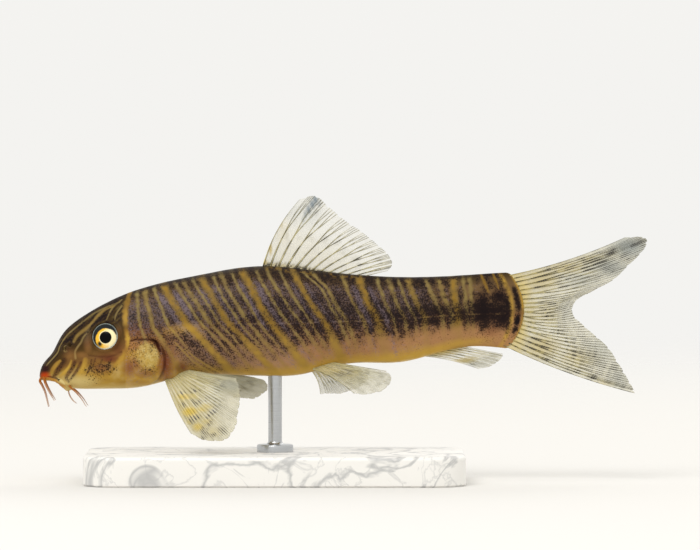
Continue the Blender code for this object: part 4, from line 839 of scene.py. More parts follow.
def skin_finish(paint):
    """Cast resin, airbrushed and speckled by hand, under thin satin varnish: wet but not glassy."""
    finish, tree, shader = new_finish(
        "airbrushed_resin_skin",
        {"Specular IOR Level": 0.05, "Coat Weight": 0.03, "Coat Roughness": 0.2, "IOR": 1.4},
    )
    mask = masks_of(
        tree, "height", "light", "gold", "violet", "pigment", "wash", "shade", "rust", "rose", "pale", "red",
        "cover", "slit", "blotch", "yellow",
    )
    where = put(tree, "ShaderNodeTexCoord").outputs["Object"]
    # Cloudy shift of the paint over a few millimetres, as an airbrush leaves it.
    cloud = put(tree, "ShaderNodeTexNoise", {"Vector": where, "Scale": 1 / (SKIN_CLOUD * MM), "Detail": 3.0})
    cloudy = put(
        tree, "ShaderNodeMath", {0: cloud.outputs["Fac"], 1: 0.16, 2: -0.08}, operation="MULTIPLY_ADD"
    )
    height = put(
        tree, "ShaderNodeMath", {0: mask["height"], 1: cloudy.outputs[0]}, operation="ADD"
    ).outputs[0]
    ground = put(
        tree, "ShaderNodeValToRGB", {"Fac": height},
        stops=(
            (0.0, paint.back), (1.0, paint.underside), (0.14, paint.upper_flank), (0.4, paint.upper_flank),
            (0.5, paint.middle_flank), (0.66, paint.lower_flank), (0.8, paint.lower_flank),
            (0.92, paint.belly),
        ),
    ).outputs["Color"]
    patchy = put(
        tree, "ShaderNodeMapRange", {0: cloud.outputs["Fac"], 1: 0.35, 2: 0.65, 3: 0.8, 4: 1.15}
    ).outputs[0]
    fine = pigment_and_glint_specks(tree, mask["pigment"], patchy, paint.speck, 0.5)
    sheen = pigment_and_glint_specks(tree, mask["violet"], 1.0, paint.speck * 1.3, 1.2)
    # Pale specks over the gold of the gill cover are painted glints.
    painted_glints = pigment_and_glint_specks(tree, mask["cover"], 0.4, paint.speck * 2.4, 1.2)
    colour = painted(
        tree, ground,
        (
            (mask["rose"], paint.rose), (mask["rust"], paint.rust), (mask["shade"], paint.shade),
            (mask["light"], paint.thin_line), (mask["gold"], paint.gold_band), (sheen, paint.violet),
            (mask["yellow"], paint.belly), (mask["pale"], paint.pale),
            (mask["cover"], paint.gill_gold, 0.75), (painted_glints, paint.pale),
            (mask["blotch"], paint.slit), (mask["wash"], paint.wash, patchy),
            # The last coat is the gill slit's own maroon, with painted shade in the folds.
            (fine, paint.pigment, 0.85), (mask["red"], paint.red), (mask["slit"], paint.slit),
        ),
    )
    tree.links.new(colour, shader.inputs["Base Color"])
    # Scales, drawn a little coarser than the fish's own, show as a fine grain in the gloss.
    scales = put(tree, "ShaderNodeTexVoronoi", {"Vector": where, "Scale": 1 / (SKIN_SCALE * MM)})
    relief = put(
        tree, "ShaderNodeBump", {"Strength": 0.3, "Distance": 0.01 * MM, "Height": scales.outputs["Distance"]}
    )
    tree.links.new(relief.outputs["Normal"], shader.inputs["Normal"])
    rough = put(tree, "ShaderNodeMapRange", {0: fine, 3: 0.4, 4: 0.5}).outputs[0]
    tree.links.new(rough, shader.inputs["Roughness"])
    return finish


def skin_grid():
    """Places of the skin's rings along the body and of its points round each ring."""
    snout = (np.arange(1, SNOUT_RINGS + 1) / SNOUT_RINGS) ** 2
    head = np.arange(1.0, HEAD_END, HEAD_RING_STEP)[1:]
    body = np.linspace(HEAD_END, BODY_END, round((BODY_END - HEAD_END) / BODY_RING_STEP))
    closing = BODY_END + CLOSING_REACH * np.sin(np.linspace(0, math.pi / 2, CLOSING_RINGS + 1))[1:]
    rings = np.concatenate([snout, head, body, closing])
    turn = 2 * math.pi * np.arange(SKIN_FACETS) / SKIN_FACETS
    return np.meshgrid(rings, turn, indexing="ij")


def skin_relief(points):
    """How far each point of the skin stands out from the plain body, in millimetres."""
    s, y, h = points[..., 0], points[..., 1], points[..., 2]
    flank = ramp(np.abs(y), 0.6, 1.6)
    relief = 0.05 * (grain(s, h + 3 * np.sign(y), 2.4, 5) - 0.5) * ramp(s, 3.0, 9.0)

    for side in SIDES.values():
        near, out = flank_spot(*EYE_CENTRE, side)
        away = points - near
        outward = np.sum(away * out, axis=-1)
        from_eye = np.sqrt(np.maximum(np.sum(away**2, axis=-1) - outward**2, 0.0))
        from_eye = np.where(np.sign(y) == side, from_eye, 9.0)
        relief -= 1.0 * (1 - ramp(from_eye, EYE_RADIUS - 0.22, EYE_RADIUS + 0.04))
        relief += 0.2 * hump(from_eye - EYE_RADIUS - 0.2, 0.34)
        relief -= 0.06 * hump(from_eye - EYE_RADIUS - 0.65, 0.4)
    for s0, h0 in NOSTRILS:
        from_nostril = oval(s, h, s0, h0)
        relief += flank * (0.16 * hump(from_nostril - 0.34, 0.2) - 0.25 * hump(from_nostril, 0.24))

    relief -= 0.1 * flank * hump(from_path(s, h, EYE_FOLD), 3.0)
    relief -= 0.05 * flank * hump(from_path(s, h, EYE_BAR[4:]), 2.0)
    to_edge = (oval(s, h, *GILL_PLATE) - 1) * GILL_PLATE[2]
    relief += 0.17 * flank * (1 - ramp(to_edge, -0.1, 0.08)) * ramp(s, 12.0, 13.6)
    relief += 0.12 * flank * (1 - ramp(to_edge, -1.6, 0.0)) * ramp(s, 11.6, 13.0)
    opening = from_path(s, h, GILL_OPENING)
    under = ramp(-h, -6.0, -5.0)
    relief -= 0.3 * under * hump(opening, 1.5) * ramp(np.abs(y), 0.2, 1.2)
    relief += 0.1 * under * hump(opening - 3.0, 3.0) * (s < 16.7) * flank
    relief -= 0.25 * flank * hump(from_path(s, h, GILL_SLIT), 1.5)
    relief += 0.2 * flank * hump(oval(s, h, *COVER_GOLD), 1.1)
    relief += 0.3 * flank * hump(oval(s, h, *PECTORAL_BASE, 1.3), 0.95)

    front = s[:, 0] < 7.0
    mouth = points[front]
    shaped = np.zeros(mouth.shape[:-1])
    for path, height, reach in ((UPPER_LIP, 0.22, 0.45), (LOWER_LIP, 0.26, 0.46), (MOUTH_LINE, -0.34, 0.24)):
        for side in SIDES.values():
            half = [(a, side * b, c) for a, b, c in path] + [(path[-1][0] - 0.12, 0.0, path[-1][2])]
            shaped = np.where(
                np.sign(mouth[..., 1]) == side, shaped + height * hump(from_curve(mouth, half), reach), shaped
            )
    for side in SIDES.values():
        lobe = (CHIN_LOBE[0], side * CHIN_LOBE[1], CHIN_LOBE[2])
        shaped += 0.55 * hump(np.linalg.norm((mouth - lobe) / (1.4, 1.1, 1.0), axis=-1), 0.72)
        root = (0.5, side * 0.8, 0.25)
        shaped += 0.16 * hump(np.linalg.norm(mouth - root, axis=-1), 0.6)
    relief[front] += shaped

    lateral = h - along_rows(s, LATERAL_LINE)
    relief += 0.035 * hump(lateral, 0.22) * ramp(s, LATERAL_LINE_STARTS, LATERAL_LINE_STARTS + 1)
    furrow = ramp(s, 12.0, 20.0) * (1 - ramp(s, 50.0, 60.0))
    relief -= 0.05 * furrow * hump(lateral, 1.1)
    return relief


def light_lines(s, h, level, side, ragged):
    """Masks of the light lines, of the golden ones among them, and of the violet beside those."""
    light, gold, violet = np.zeros((3, *s.shape))
    for number, (crossing, half, golden) in enumerate(LIGHT_LINES):
        down = np.clip(level, 0.0, 1.0) ** 1.2 * along_rows(crossing, SLANT)
        down = down + np.clip(level - 1.0, 0.0, 1.0) * along_rows(crossing, SLANT_BELOW)
        # Under the middle of the dorsal fin the lines start further forward on the back.
        down = down - 1.6 * hump(crossing - 36.4, 2.0) * hump(level, 0.35)
        wobble = 0.2 * (grain(h + 7.3 * number + side, h * 0 + number, 1.6, 3) - 0.5)
        off = s - crossing - down - wobble + ragged
        wide = half * (0.9 + 0.4 * golden * ramp(level, 0.5, 1.6))
        wide = wide * (0.75 + 0.5 * grain(h + 3.1 * number, s * 0 + number + side, 1.3, 4))
        inside_line = 1 - ramp(np.abs(off), wide * 0.1, wide * 1.3 + 0.18)
        lasting = 1 - (1 - golden) * ramp(level, 1.2, 1.7)
        light = np.maximum(light, inside_line * lasting)
        gold = np.maximum(gold, np.clip(1.6 * golden - 0.5, 0, 1) * inside_line)
        beside = hump(np.abs(off) - wide - 0.5, 0.75) * np.clip(2.2 * golden - 1.2, 0, 1)
        violet = np.maximum(violet, beside)
    return light, gold, violet


def skin_masks(points, angle):
    """The pattern of the skin as masks from 0 to 1. The level is 0 on the back, 1 on the lateral line."""
    s, y, h = points[..., 0], points[..., 1], points[..., 2]
    side = np.where(y > 0, RIGHT_SIDE_SHIFT, 0.0)
    inside = np.clip(s, 0.0, BODY_END)
    back = top_line(inside)
    level = (back - h) / (back - along_rows(s, LATERAL_LINE))
    rough_level = level + 0.22 * (grain(s + side, h, 0.7, 2) - 0.5)
    ragged = 0.2 * (grain(s + side, h, 0.3, 14) - 0.5)
    broken = 0.6 + 0.55 * grain(s + side, h, 0.4, 15)
    uneven = 0.55 + 0.45 * grain(s + side, h, 0.8, 9)
    flank = ramp(np.abs(y), 0.4, 1.2)
    trunk = ramp(from_path(s, h, EYE_BAR) * np.where(s > 11.4, 1.0, -1.0), 0.0, 1.6)
    trunk = np.where(s > 13.0, 1.0, trunk)
    head = 1 - trunk

    # Light lines of the trunk, and the violet sheen between them.
    light, gold, violet = light_lines(s, h, level, side, ragged)
    sheen = ramp(level, 0.1, 0.35) * (1 - 0.6 * ramp(level, 0.9, 1.4)) * trunk
    sheen = sheen * (1 - 0.6 * ramp(s, 50.0, 53.0)) * (1 - ramp(s, 57.0, 59.0))
    violet = np.maximum(violet, 0.48) * (1 - 0.9 * light) * sheen
    light, gold = np.clip(light * broken, 0, 1), np.clip(gold * broken, 0, 1)
    low_line = flank * stroke(s, h, LOW_LINES, 0.3, 1.5)
    light, gold = np.maximum(light, 0.85 * low_line), np.maximum(gold, 0.4 * low_line)
    shoulder = patches(s, h, SHOULDER) * flank

    # Dark bars between them, the dark ridge of the back, and the dotted foot of the dorsal fin.
    fade = 1 - ramp(rough_level, along_rows(s, BARS_THIN), along_rows(s, BARS_END))
    covered = along_rows(s, LINES_COVERED) * hump(level - 0.95, 0.7)
    weight = along_rows(s, BARS_WEIGHT) * (0.8 + 0.2 * ramp(level, 0.3, 0.9)) * (1 - 0.35 * violet)
    clear = 0.97 - 0.08 * ramp(s, 20.0, 28.0) * (1 - gold) * (1 - ramp(level, 0.9, 1.3)) - covered
    bars = (1 - clear * light) * fade * weight * trunk * (1 - 0.8 * shoulder)
    mottled = 0.2 + 0.6 * ramp(grain(s + side, h, 0.45, 35), 0.3, 0.7)
    bars = bars * (1 - mottled * ramp(s, 50.5, 54.0) * (1 - ramp(level, 0.5, 0.95)))
    bars = np.maximum(bars, 0.72 * (1 - ramp(level, 0.03, 0.14)) * trunk)
    fin_foot = hump(back - h - 0.3, 0.5) * ramp(s, 28.5, 30.0) * (1 - ramp(s, 42.0, 44.0))
    fin_foot = fin_foot * ramp(grain(s + side, h, 0.3, 31), 0.5, 0.7)
    bars = bars * (1 - 0.6 * fin_foot)

    # Head: fine lines over a brushed dark crown, bars on the snout, and the bar behind the eye.
    from_lines = [from_path(s, h, path) for path in HEAD_LINES + HEAD_GOLD_LINES]
    streaky = 0.6 + 0.4 * grain(s + side, h, 0.45, 11)
    head_lines = (1 - ramp(np.minimum.reduce(from_lines), 0.3, 1.5)) * streaky
    head_gold = 1 - ramp(np.minimum.reduce(from_lines[len(HEAD_LINES) :]), 0.3, 1.5)
    head_edges = np.maximum.reduce([hump(off - 2.3, 1.3) for off in from_lines]) * (1 - head_lines) * streaky
    crown = (1 - ramp(level, 0.5, 1.1)) * head
    brushed = grain((h - 0.85 * s) / 0.3, (s + 0.85 * h + side) / 1.7, 1.0, 21) * crown
    brow = ramp(h - 0.55 * s, 0.6, 2.2) * (1 - ramp(s, 8.0, 11.0)) * head
    crest = (1 - ramp(back - h, 0.15, 0.8)) * head * ramp(s, 1.0, 2.5)
    snout_top = hump(oval(s, h, 0.7, 1.5), 0.95)
    snout_light = flank * stroke(s, h, SNOUT_BARS, 0.4, 1.4)
    snout_dark = flank * stroke(s, h, SNOUT_DARK_BARS, 0.3, 1.8)
    dots = ramp(grain(s + side, h, 0.17, 33), 0.45, 0.75)
    cheek_specks = patches(s, h, CHEEK_SPECKS) * (0.42 + 0.58 * dots) * flank
    eye_bar = stroke(s + 1.3 * ragged, h, (EYE_BAR,), 0.3, 1.5)
    eye_bar = eye_bar * np.clip(broken + 0.15, 0, 1) * (1 - 0.5 * hump(h - 6.9, 0.7))
    head_dark = np.maximum.reduce([
        0.15 * crown + 0.6 * ramp(brushed, 0.45, 0.8), 0.25 * brow, 0.7 * crest, snout_top,
        0.85 * head_edges * crown,
    ])
    head_dark = np.maximum(head_dark * (1 - snout_light), 0.45 * snout_dark) * (1 - 0.95 * head_lines)

    # Tail stalk: blotches, light streaks, and the dark bar where the tail fin starts.
    streaks = stroke(s, h, TAIL_STREAKS, 0.4, 1.7)
    tail = patches(s, h, BLOTCHES) * (1 - 0.7 * streaks)
    hind_edge = BODY_END + TAIL_ROUNDING * (1 - ((h - TAIL_EDGE_MIDDLE) / TAIL_EDGE_HALF) ** 2) - s
    tail_bar = hump(hind_edge, 0.62) * (1 - ramp(np.abs(h - 9.1), 2.6, 3.7))
    tail_bar = tail_bar * (0.5 + 0.8 * grain(s, h + side, 0.5, 12)) * (1 - 0.45 * hump(h - 8.8, 0.6))
    bars = bars * (1 - 0.85 * ramp(s - along_rows(h, TAIL_CLEAR), 0.0, 0.7)) * (1 - 0.8 * streaks)

    # Pigment as a thin wash and as specks on it, thinned along the lateral line and over bright spots.
    wash = np.maximum.reduce([bars, head_dark, tail, tail_bar * 1.1]) * (1 - eye_bar)
    below_bars = (0.42 - 0.16 * ramp(s, 22.0, 34.0)) * (1 - ramp(rough_level, 1.5, 2.0))
    below_bars = below_bars * ramp(level, 0.8, 1.2) * trunk * (1 - light)
    pigment = np.maximum.reduce([wash * 0.8, cheek_specks, tail_bar, below_bars])
    line = hump(h - along_rows(s, LATERAL_LINE), 0.15) * (s < LATERAL_LINE_ENDS)
    line = line * ramp(s, LATERAL_LINE_STARTS, LATERAL_LINE_STARTS + 2)
    line = line * (0.1 + 0.75 * grain(s + side, h, 0.9, 8))
    cover = (1 - ramp(oval(s, h, *COVER_GOLD), 0.7, 1.08)) * flank
    cover = cover * (0.6 + 0.35 * ramp(s + 0.5 * h, 14.6, 16.6))
    pit = patches(s, h, FIN_PIT) * flank
    pigment = pigment * (1 - 0.7 * line) * (1 - 0.2 * cover) * (1 - 1.2 * pit)
    wash = wash * (1 - 0.6 * line) * (1 - 1.2 * pit)

    # Light and gold, both duller low down on the rear half.
    lit = 0.45 * ramp(crown * (1 - brushed), 0.6, 0.9)
    light = np.maximum.reduce([light * trunk, head_lines * 0.85, snout_light * 0.3, line, lit])
    lower, rear = ramp(level, 1.05, 1.5), ramp(s, 38.0, 46.0)
    gold = gold * (1 - 0.3 * lower - 0.6 * lower * rear)
    light = light * (1 - 0.7 * lower * rear)
    low_gold = gold * lower * trunk * (1 - rear)
    gold = np.maximum.reduce([
        gold * trunk, eye_bar * uneven, snout_light * 0.8, head_gold * 0.5, streaks * 0.8, 0.6 * fin_foot,
    ])

    # Washes of colour.
    rust = np.maximum(patches(s, h, RUST) * flank, 0.6 * snout_dark)
    rose = (0.8 * ramp(s, 15.0, 21.0) - 0.45 * ramp(s, 31.0, 37.0)) * (1 - light) * trunk
    rose = rose * ramp(level, 0.95, 1.25) * (1 - ramp(level, 1.7, 2.0))
    shade = head * (0.76 * (1 - ramp(level, 0.9, 1.9)) + 0.16)
    shade = shade * (1 - 0.8 * head_lines) * (1 - 0.7 * snout_light)
    round_eye = 0.7 * hump(oval(s, h, *EYE_CENTRE) - 1.9, 0.8)
    shade = np.maximum.reduce([shade, round_eye, 0.95 * head_dark * crown])
    shade = shade * (1 - eye_bar) * (1 - 0.8 * patches(s, h, HEAD_TAN))
    throat = ramp(-h, 0.2, 1.2) * (1 - ramp(s, 14.0, 19.0)) * ramp(s, 3.5, 6.0) * 0.4
    pale = np.maximum.reduce([
        stroke(s, h, (LIP_PALE,), 0.6, 1.5), 0.75 * hump(oval(s, h, 3.6, -1.3), 1.1), throat,
        patches(s, h, CHIN_PALE) * flank,
    ])
    orange_lip = stroke(s, h, (LIP_ORANGE,), 0.6, 1.5)
    red = np.maximum(patches(s, h, RED_SPOT), 0.25 * orange_lip)
    # Deep maroon: the colour inside the gill slit and on the snout top, with painted shade in the eye fold,
    # along the gill opening and in the pit behind the pectoral fin.
    slit = np.maximum.reduce([
        0.6 * snout_top, 0.9 * stroke(s, h, (GILL_SLIT,), 0.4, 1.8), 0.5 * pit,
        0.45 * hump(from_path(s, h, EYE_FOLD), 2.2), 0.35 * hump(from_path(s, h, GILL_OPENING[2:]), 1.6),
    ]) * flank
    tail_edge = np.maximum(hump(hind_edge - 0.85, 0.5), hump(hind_edge + 0.75, 0.5)) * ramp(s, 58.0, 61.0)
    glow = patches(s, h, GLOW) * np.maximum(eye_bar, snout_light) * flank
    # Yellow along the lower edge from the pectoral fin back: the belly's own yellow, made stronger here as
    # painted light against the shade under the belly.
    low_edge = (1 - ramp((h - bottom_line(inside)) / 1.1, 0.3, 1.5)) * ramp(s, 18.0, 24.0) * flank
    yellow = np.maximum.reduce([
        tail_edge * uneven * broken * 1.1, 0.8 * orange_lip, 0.6 * shoulder, 0.9 * glow, 0.55 * low_gold,
        0.8 * low_edge,
    ])

    height = np.clip(level / along_rows(s, BELLY_LEVEL), 0.0, 1.0) * 0.93
    under = ramp(-np.cos(angle), 0.93, 0.995) * (1 - ramp(s, 46.0, 56.0))
    return {
        "height": height + (1.0 - height) * under, "light": light * 0.85, "gold": gold * 0.85,
        "violet": violet, "pigment": pigment, "wash": wash * 0.82, "shade": shade, "rust": rust, "rose": rose,
        "pale": pale, "red": red, "cover": cover, "slit": slit, "blotch": tail * 0.5, "yellow": yellow,
    }


def build_skin(paint):
    """One closed skin over head, trunk, tail stalk and gill covers."""
    s, angle = skin_grid()
    plain = body_points(s, angle)
    normal = grid_normals(plain, wrap=True)
    if np.mean(normal[..., 1] * plain[..., 1]) < 0:
        normal = -normal
    points = plain + normal * skin_relief(plain)[..., None]
    masks = skin_masks(plain, angle)
    rings, facets = s.shape
    faces = ring_faces(rings, facets)
    faces += [(rings * facets, (j + 1) % facets, j) for j in range(facets)]
    end = [(rings - 1) * facets + j for j in range(facets)]
    for j in range(facets // 2):
        corners = list(dict.fromkeys((end[j], end[j + 1], end[-j - 1], end[-j])))
        faces.append(corners)
    tip = np.array([[0.0, 0.0, top_line(0.0)]])
    every_point = np.vstack([points.reshape(-1, 3), tip])
    masks = {name: np.append(values.ravel(), values[0].mean()) for name, values in masks.items()}
    spread = np.stack([s / SKIN_LENGTH, angle / (2 * math.pi) * 0.995], axis=-1).reshape(-1, 2)
    spread = np.vstack([spread, [[0.0, 0.5]]])
    return make_piece(
        "painted_skin", every_point, faces, skin_finish(paint),
        ("head", "torso", "tail_stalk", "gill_cover_left", "gill_cover_right"), masks, spread,
    )


def eye_finish(paint):
    """Glass eye, painted behind and flame polished: a black pupil deep under a clear wet gloss."""
    finish, tree, shader = new_finish(
        "polished_glass_eye",
        {
            "Roughness": 0.25, "Specular IOR Level": 0.05, "Coat Weight": 0.08, "Coat Roughness": 0.02,
            "IOR": 1.4,
        },
    )
    mask = masks_of(tree, "back_mm", "up_mm", "pupil_mm", "disc_mm", "spot_mm", "from_axis")
    where = put(tree, "ShaderNodeTexCoord").outputs["Object"]
    streaks = put(
        tree, "ShaderNodeTexNoise", {"Vector": where, "Scale": 1 / (IRIS_STREAK * MM), "Detail": 4.0}
    )
    shifted = put(
        tree, "ShaderNodeMath", {0: streaks.outputs["Fac"], 1: 0.7, 2: -0.35}, operation="MULTIPLY_ADD"
    ).outputs[0]
    hind = put(tree, "ShaderNodeMath", {0: mask["back_mm"], 1: shifted}, operation="ADD").outputs[0]
    pale_side = put(tree, "ShaderNodeMapRange", {0: hind, 1: -0.2, 2: 0.75}).outputs[0]
    # The bright disc of the iris sits low and back; slate shows round the rest of it.
    uneven = put(tree, "ShaderNodeMath", {0: shifted, 1: 0.3, 2: mask["disc_mm"]}, operation="MULTIPLY_ADD")
    dark = put(tree, "ShaderNodeMapRange", {0: uneven.outputs[0], 1: 1.3, 2: 1.46}).outputs[0]
    spot = put(tree, "ShaderNodeMapRange", {0: mask["spot_mm"], 1: 0.46, 2: 0.16}).outputs[0]
    ring = put(tree, "ShaderNodeMapRange", {0: mask["from_axis"], 1: 1.56, 2: 1.7}).outputs[0]
    low = put(tree, "ShaderNodeMapRange", {0: mask["up_mm"], 1: 1.3, 2: 0.0, 3: 0.45, 4: 0.95}).outputs[0]
    rim = put(tree, "ShaderNodeMath", {0: ring, 1: low}, operation="MULTIPLY").outputs[0]
    radius = paint.pupil / MM
    bright_edge = put(tree, "ShaderNodeMapRange", {0: mask["pupil_mm"], 1: radius + 0.14, 2: radius + 0.06})
    pupil = put(tree, "ShaderNodeMapRange", {0: mask["pupil_mm"], 1: radius + 0.03, 2: radius - 0.03})
    colour = painted(
        tree, paint.iris,
        (
            (pale_side, paint.iris_pale), (dark, paint.iris_dark), (spot, paint.iris_dark), (rim, paint.rim),
            (bright_edge.outputs[0], paint.iris_pale), (pupil.outputs[0], (0.001, 0.001, 0.001, 1.0)),
        ),
    )
    tree.links.new(colour, shader.inputs["Base Color"])
    return finish


def build_eye(side_name, finish):
    """A domed lens of an eye, set in its orbit."""
    side = SIDES[side_name]
    near, out = flank_spot(*EYE_CENTRE, side)
    up = np.array([0.0, 0.0, 1.0]) - out * out[2]
    up /= np.linalg.norm(up)
    back = np.array([1.0, 0.0, 0.0]) - out * out[0] - up * up[0]
    back /= np.linalg.norm(back)
    polar, turn = np.meshgrid(
        np.linspace(0.0, math.pi, EYE_RINGS + 2)[1:-1], 2 * math.pi * np.arange(EYE_FACETS) / EYE_FACETS,
        indexing="ij",
    )
    wide = EYE_RADIUS + EYE_RIM_HIDDEN
    local_back = wide * np.sin(polar) * np.cos(turn)
    local_up = wide * np.sin(polar) * np.sin(turn)
    outward = EYE_DOME * np.cos(polar) - EYE_SUNK
    points = near + local_back[..., None] * back + local_up[..., None] * up + outward[..., None] * out
    poles = np.stack([near + out * (EYE_DOME - EYE_SUNK), near - out * (EYE_DOME + EYE_SUNK)])
    back_mm, up_mm = (np.append(local.ravel(), [0.0, 0.0]) for local in (local_back, local_up))
    masks = {"back_mm": back_mm, "up_mm": up_mm, "from_axis": np.hypot(back_mm, up_mm)}
    for mask, spot in (("pupil_mm", PUPIL_AT), ("disc_mm", IRIS_DISC_AT), ("spot_mm", IRIS_SPOT_AT)):
        masks[mask] = oval(back_mm, up_mm, *spot)
    return make_piece(
        f"glass_eye_{side_name}", np.vstack([points.reshape(-1, 3), poles]),
        turned_faces(EYE_RINGS, EYE_FACETS), finish, (f"eye_{side_name}",), masks,
    )


def fin_finish(paint):
    """Clear resin, cast thin and speckled by hand: milky and glossy, darker only along its rays."""
    finish, tree, shader = new_finish(
        "thin_cast_clear_resin", {"Roughness": 0.3, "IOR": 1.4, "Coat Weight": 0.2, "Coat Roughness": 0.1}
    )
    mask = masks_of(tree, "ray", "dark", "yellow", "smoke_and_shade", "milk", "reach_mm")
    # Rays are jointed; the joints are drawn at twice their real spacing, so that they show.
    turned = put(
        tree, "ShaderNodeMath", {0: mask["reach_mm"], 1: 2 * math.pi / RAY_JOINT}, operation="MULTIPLY"
    )
    wave = put(tree, "ShaderNodeMath", {0: turned.outputs[0]}, operation="SINE")
    joints = put(tree, "ShaderNodeMapRange", {0: wave.outputs[0], 1: -0.8, 2: 0.0, 3: 0.8, 4: 1.0}).outputs[0]
    specks = put(tree, "ShaderNodeMath", {0: mask["dark"], 1: joints}, operation="MULTIPLY").outputs[0]
    colour = painted(
        tree, paint.membrane,
        (
            # Smoke is the blue grey of the tips, and painted shade on the near pectoral fin.
            (mask["ray"], paint.ray), (mask["yellow"], paint.yellow), (mask["smoke_and_shade"], paint.smoke_and_shade),
            (specks, paint.speck),
        ),
    )
    tree.links.new(colour, shader.inputs["Base Color"])
    solid = put(tree, "ShaderNodeMath", {0: mask["milk"], 1: paint.clear}, operation="MULTIPLY").outputs[0]
    for share, amount in ((0.25, mask["ray"]), (0.8, mask["yellow"]), (0.45, mask["smoke_and_shade"]), (1.0, specks)):
        solid = put(
            tree, "ShaderNodeMath", {0: amount, 1: share, 2: solid}, operation="MULTIPLY_ADD"
        ).outputs[0]
    solid = put(tree, "ShaderNodeClamp", {0: solid})
    tree.links.new(solid.outputs[0], shader.inputs["Alpha"])
    return finish


def fin_roots(name, share):
    """Where the rays of a fin start, inside the body."""
    if name in ("dorsal_fin", "anal_fin"):
        start, end = DORSAL_ROOT if name == "dorsal_fin" else ANAL_ROOT
        s = start + (end - start) * share
        h = top_line(s) - FIN_ROOT_SUNK if name == "dorsal_fin" else bottom_line(s) + FIN_ROOT_SUNK
        return np.stack([s, 0 * s, h], axis=-1)
    if name == "tail_fin":
        off_centre = 1 - 2 * share
        top, bottom = top_line(BODY_END) - 0.5, bottom_line(BODY_END) + 0.5
        h = (top + bottom) / 2 + off_centre * (top - bottom) / 2
        s = BODY_END + TAIL_ROUNDING * (1 - off_centre**2) - FIN_ROOT_SUNK
        return np.stack([s, 0 * s, h], axis=-1)
    start, end = np.array(PECTORAL_ROOT if name.startswith("pectoral") else PELVIC_ROOT)
    side = SIDES[name.split("_")[-1]]
    spots = start + (end - start) * share[:, None]
    skin, out = flank_spot(spots[:, 0], spots[:, 1], side)
    return skin - out * FIN_ROOT_SUNK


def build_fin(name, finish):
    """A fin as a thin sheet whose rays are ridges that fork twice on their way out."""
    form = {**FIN_USUAL, **FINS[name]}
    seed = 20 + sorted(FINS).index(name)
    columns = (form["rays"] - 1) * form["columns"] + 1
    share = np.linspace(0.0, 1.0, columns)
    out_share = np.linspace(0.0, 1.0, form["rows"] + 1)
    roots, tips = fin_roots(name, share), spaced_curve(form["tips"], share)
    along = tips - roots
    following = np.gradient(roots, axis=0)
    squared = np.sum(along**2, axis=1, keepdims=True)
    outward = following - along * np.sum(following * along, axis=1, keepdims=True) / squared
    outward /= np.linalg.norm(outward, axis=1, keepdims=True)
    first_bow, last_bow = form["bow"]
    push = -outward * (first_bow + (last_bow - first_bow) * share)[:, None]

    phase = share * (form["rays"] - 1)
    number = np.round(phase)
    off_ray = phase - number
    whole = (number == 0) | (number == form["rays"] - 1)
    u = np.broadcast_to(out_share, (columns, len(out_share)))
    between = ramp(np.abs(off_ray), 0.3, 0.5)[:, None]
    notch = 1 - NOTCH * between - NOTCH_UNEVEN * grain(share[:, None] * 30, share[:, None] * 0, 1.0, seed)
    reach = u * notch
    centre = roots[:, None] + along[:, None] * reach[..., None]
    centre = centre + push[:, None] * (4 * reach * (1 - reach))[..., None]

    step = np.linalg.norm(np.gradient(centre, axis=0), axis=-1)
    across_mm = np.cumsum(step, axis=0)
    reach_mm = reach * np.sqrt(squared)
    fork = np.where(whole, 0.0, 1.0)[:, None]
    off = np.abs(off_ray)[:, None]
    for split, spread in zip(form["splits"], form["spreads"]):
        off = np.abs(off - fork * spread * ramp(u, split, split + 0.35))
    off = off * step * form["columns"]
    half = np.where(number == 0, 0.15, 0.08)[:, None] * (1 - 0.5 * u)
    ray = 1 - ramp(off, half * 0.8, half * 1.8)

    s, h = centre[..., 0], centre[..., 2]
    across = share[:, None] + 0 * u
    marks = {
        mark: np.maximum(patches(across, u, form[mark]), patches(s, h, form[f"{mark}_at"]))
        for mark in ("dark", "yellow", "smoke_and_shade")
    }
    runs = ramp(grain(number[:, None] * 3.7 + across_mm * 1.5, reach_mm / 0.6, 1.0, seed + 40), 0.25, 0.7)
    marked = marks["dark"] * (0.3 + 0.7 * runs)
    apart = half * 1.2 * (1 - ramp(u, form["paired"] - 0.3, form["paired"]))
    line = hump(off - apart, form["line"] + 0.05 * marked)
    base = form["fringe"] * (1 - ramp(reach_mm - FIN_ROOT_SUNK, 0.1, 0.9))
    specks = base * ramp(grain(across_mm / 0.22, reach_mm / 0.3, 1.0, seed + 60), 0.35, 0.6)
    dark = line * (form["edge"] * (0.5 + 0.5 * runs) + 1.4 * marked)
    dark = np.maximum(dark + 0.18 * marked * (1 - line), specks)
    masks = {
        "ray": np.maximum(ray * (1 - 0.5 * ramp(u, 0.5, 1.0)), form["tint"]),
        "dark": np.clip(dark, 0.0, 1.0),
        "yellow": np.clip(np.maximum(marks["yellow"], 0.5 * base), 0.0, 1.0),
        "smoke_and_shade": np.clip(marks["smoke_and_shade"] * 0.85, 0.0, 1.0),
        "milk": form["milk"] * (1 - 0.25 * u) + 0.4 * (1 - ramp(u, 0.0, 0.25)),
        "reach_mm": reach_mm + 0.15 * number[:, None],
    }

    normal = grid_normals(centre, wrap=False)
    ripple = MEMBRANE_RIPPLE * np.sin(across * form["rays"] * 2.4 + u * 2) * u
    centre = centre + normal * ripple[..., None]
    thick = MEMBRANE_THICK + RAY_RIDGE * ray * (1 - 0.55 * u)
    thick = (thick + ROOT_SWELLING * (1 - ramp(u, 0.0, 0.3))) * (1 - 0.3 * u)
    shift = normal * thick[..., None] / 2
    return closed_sheet(name, centre - shift, centre + shift, masks, finish)


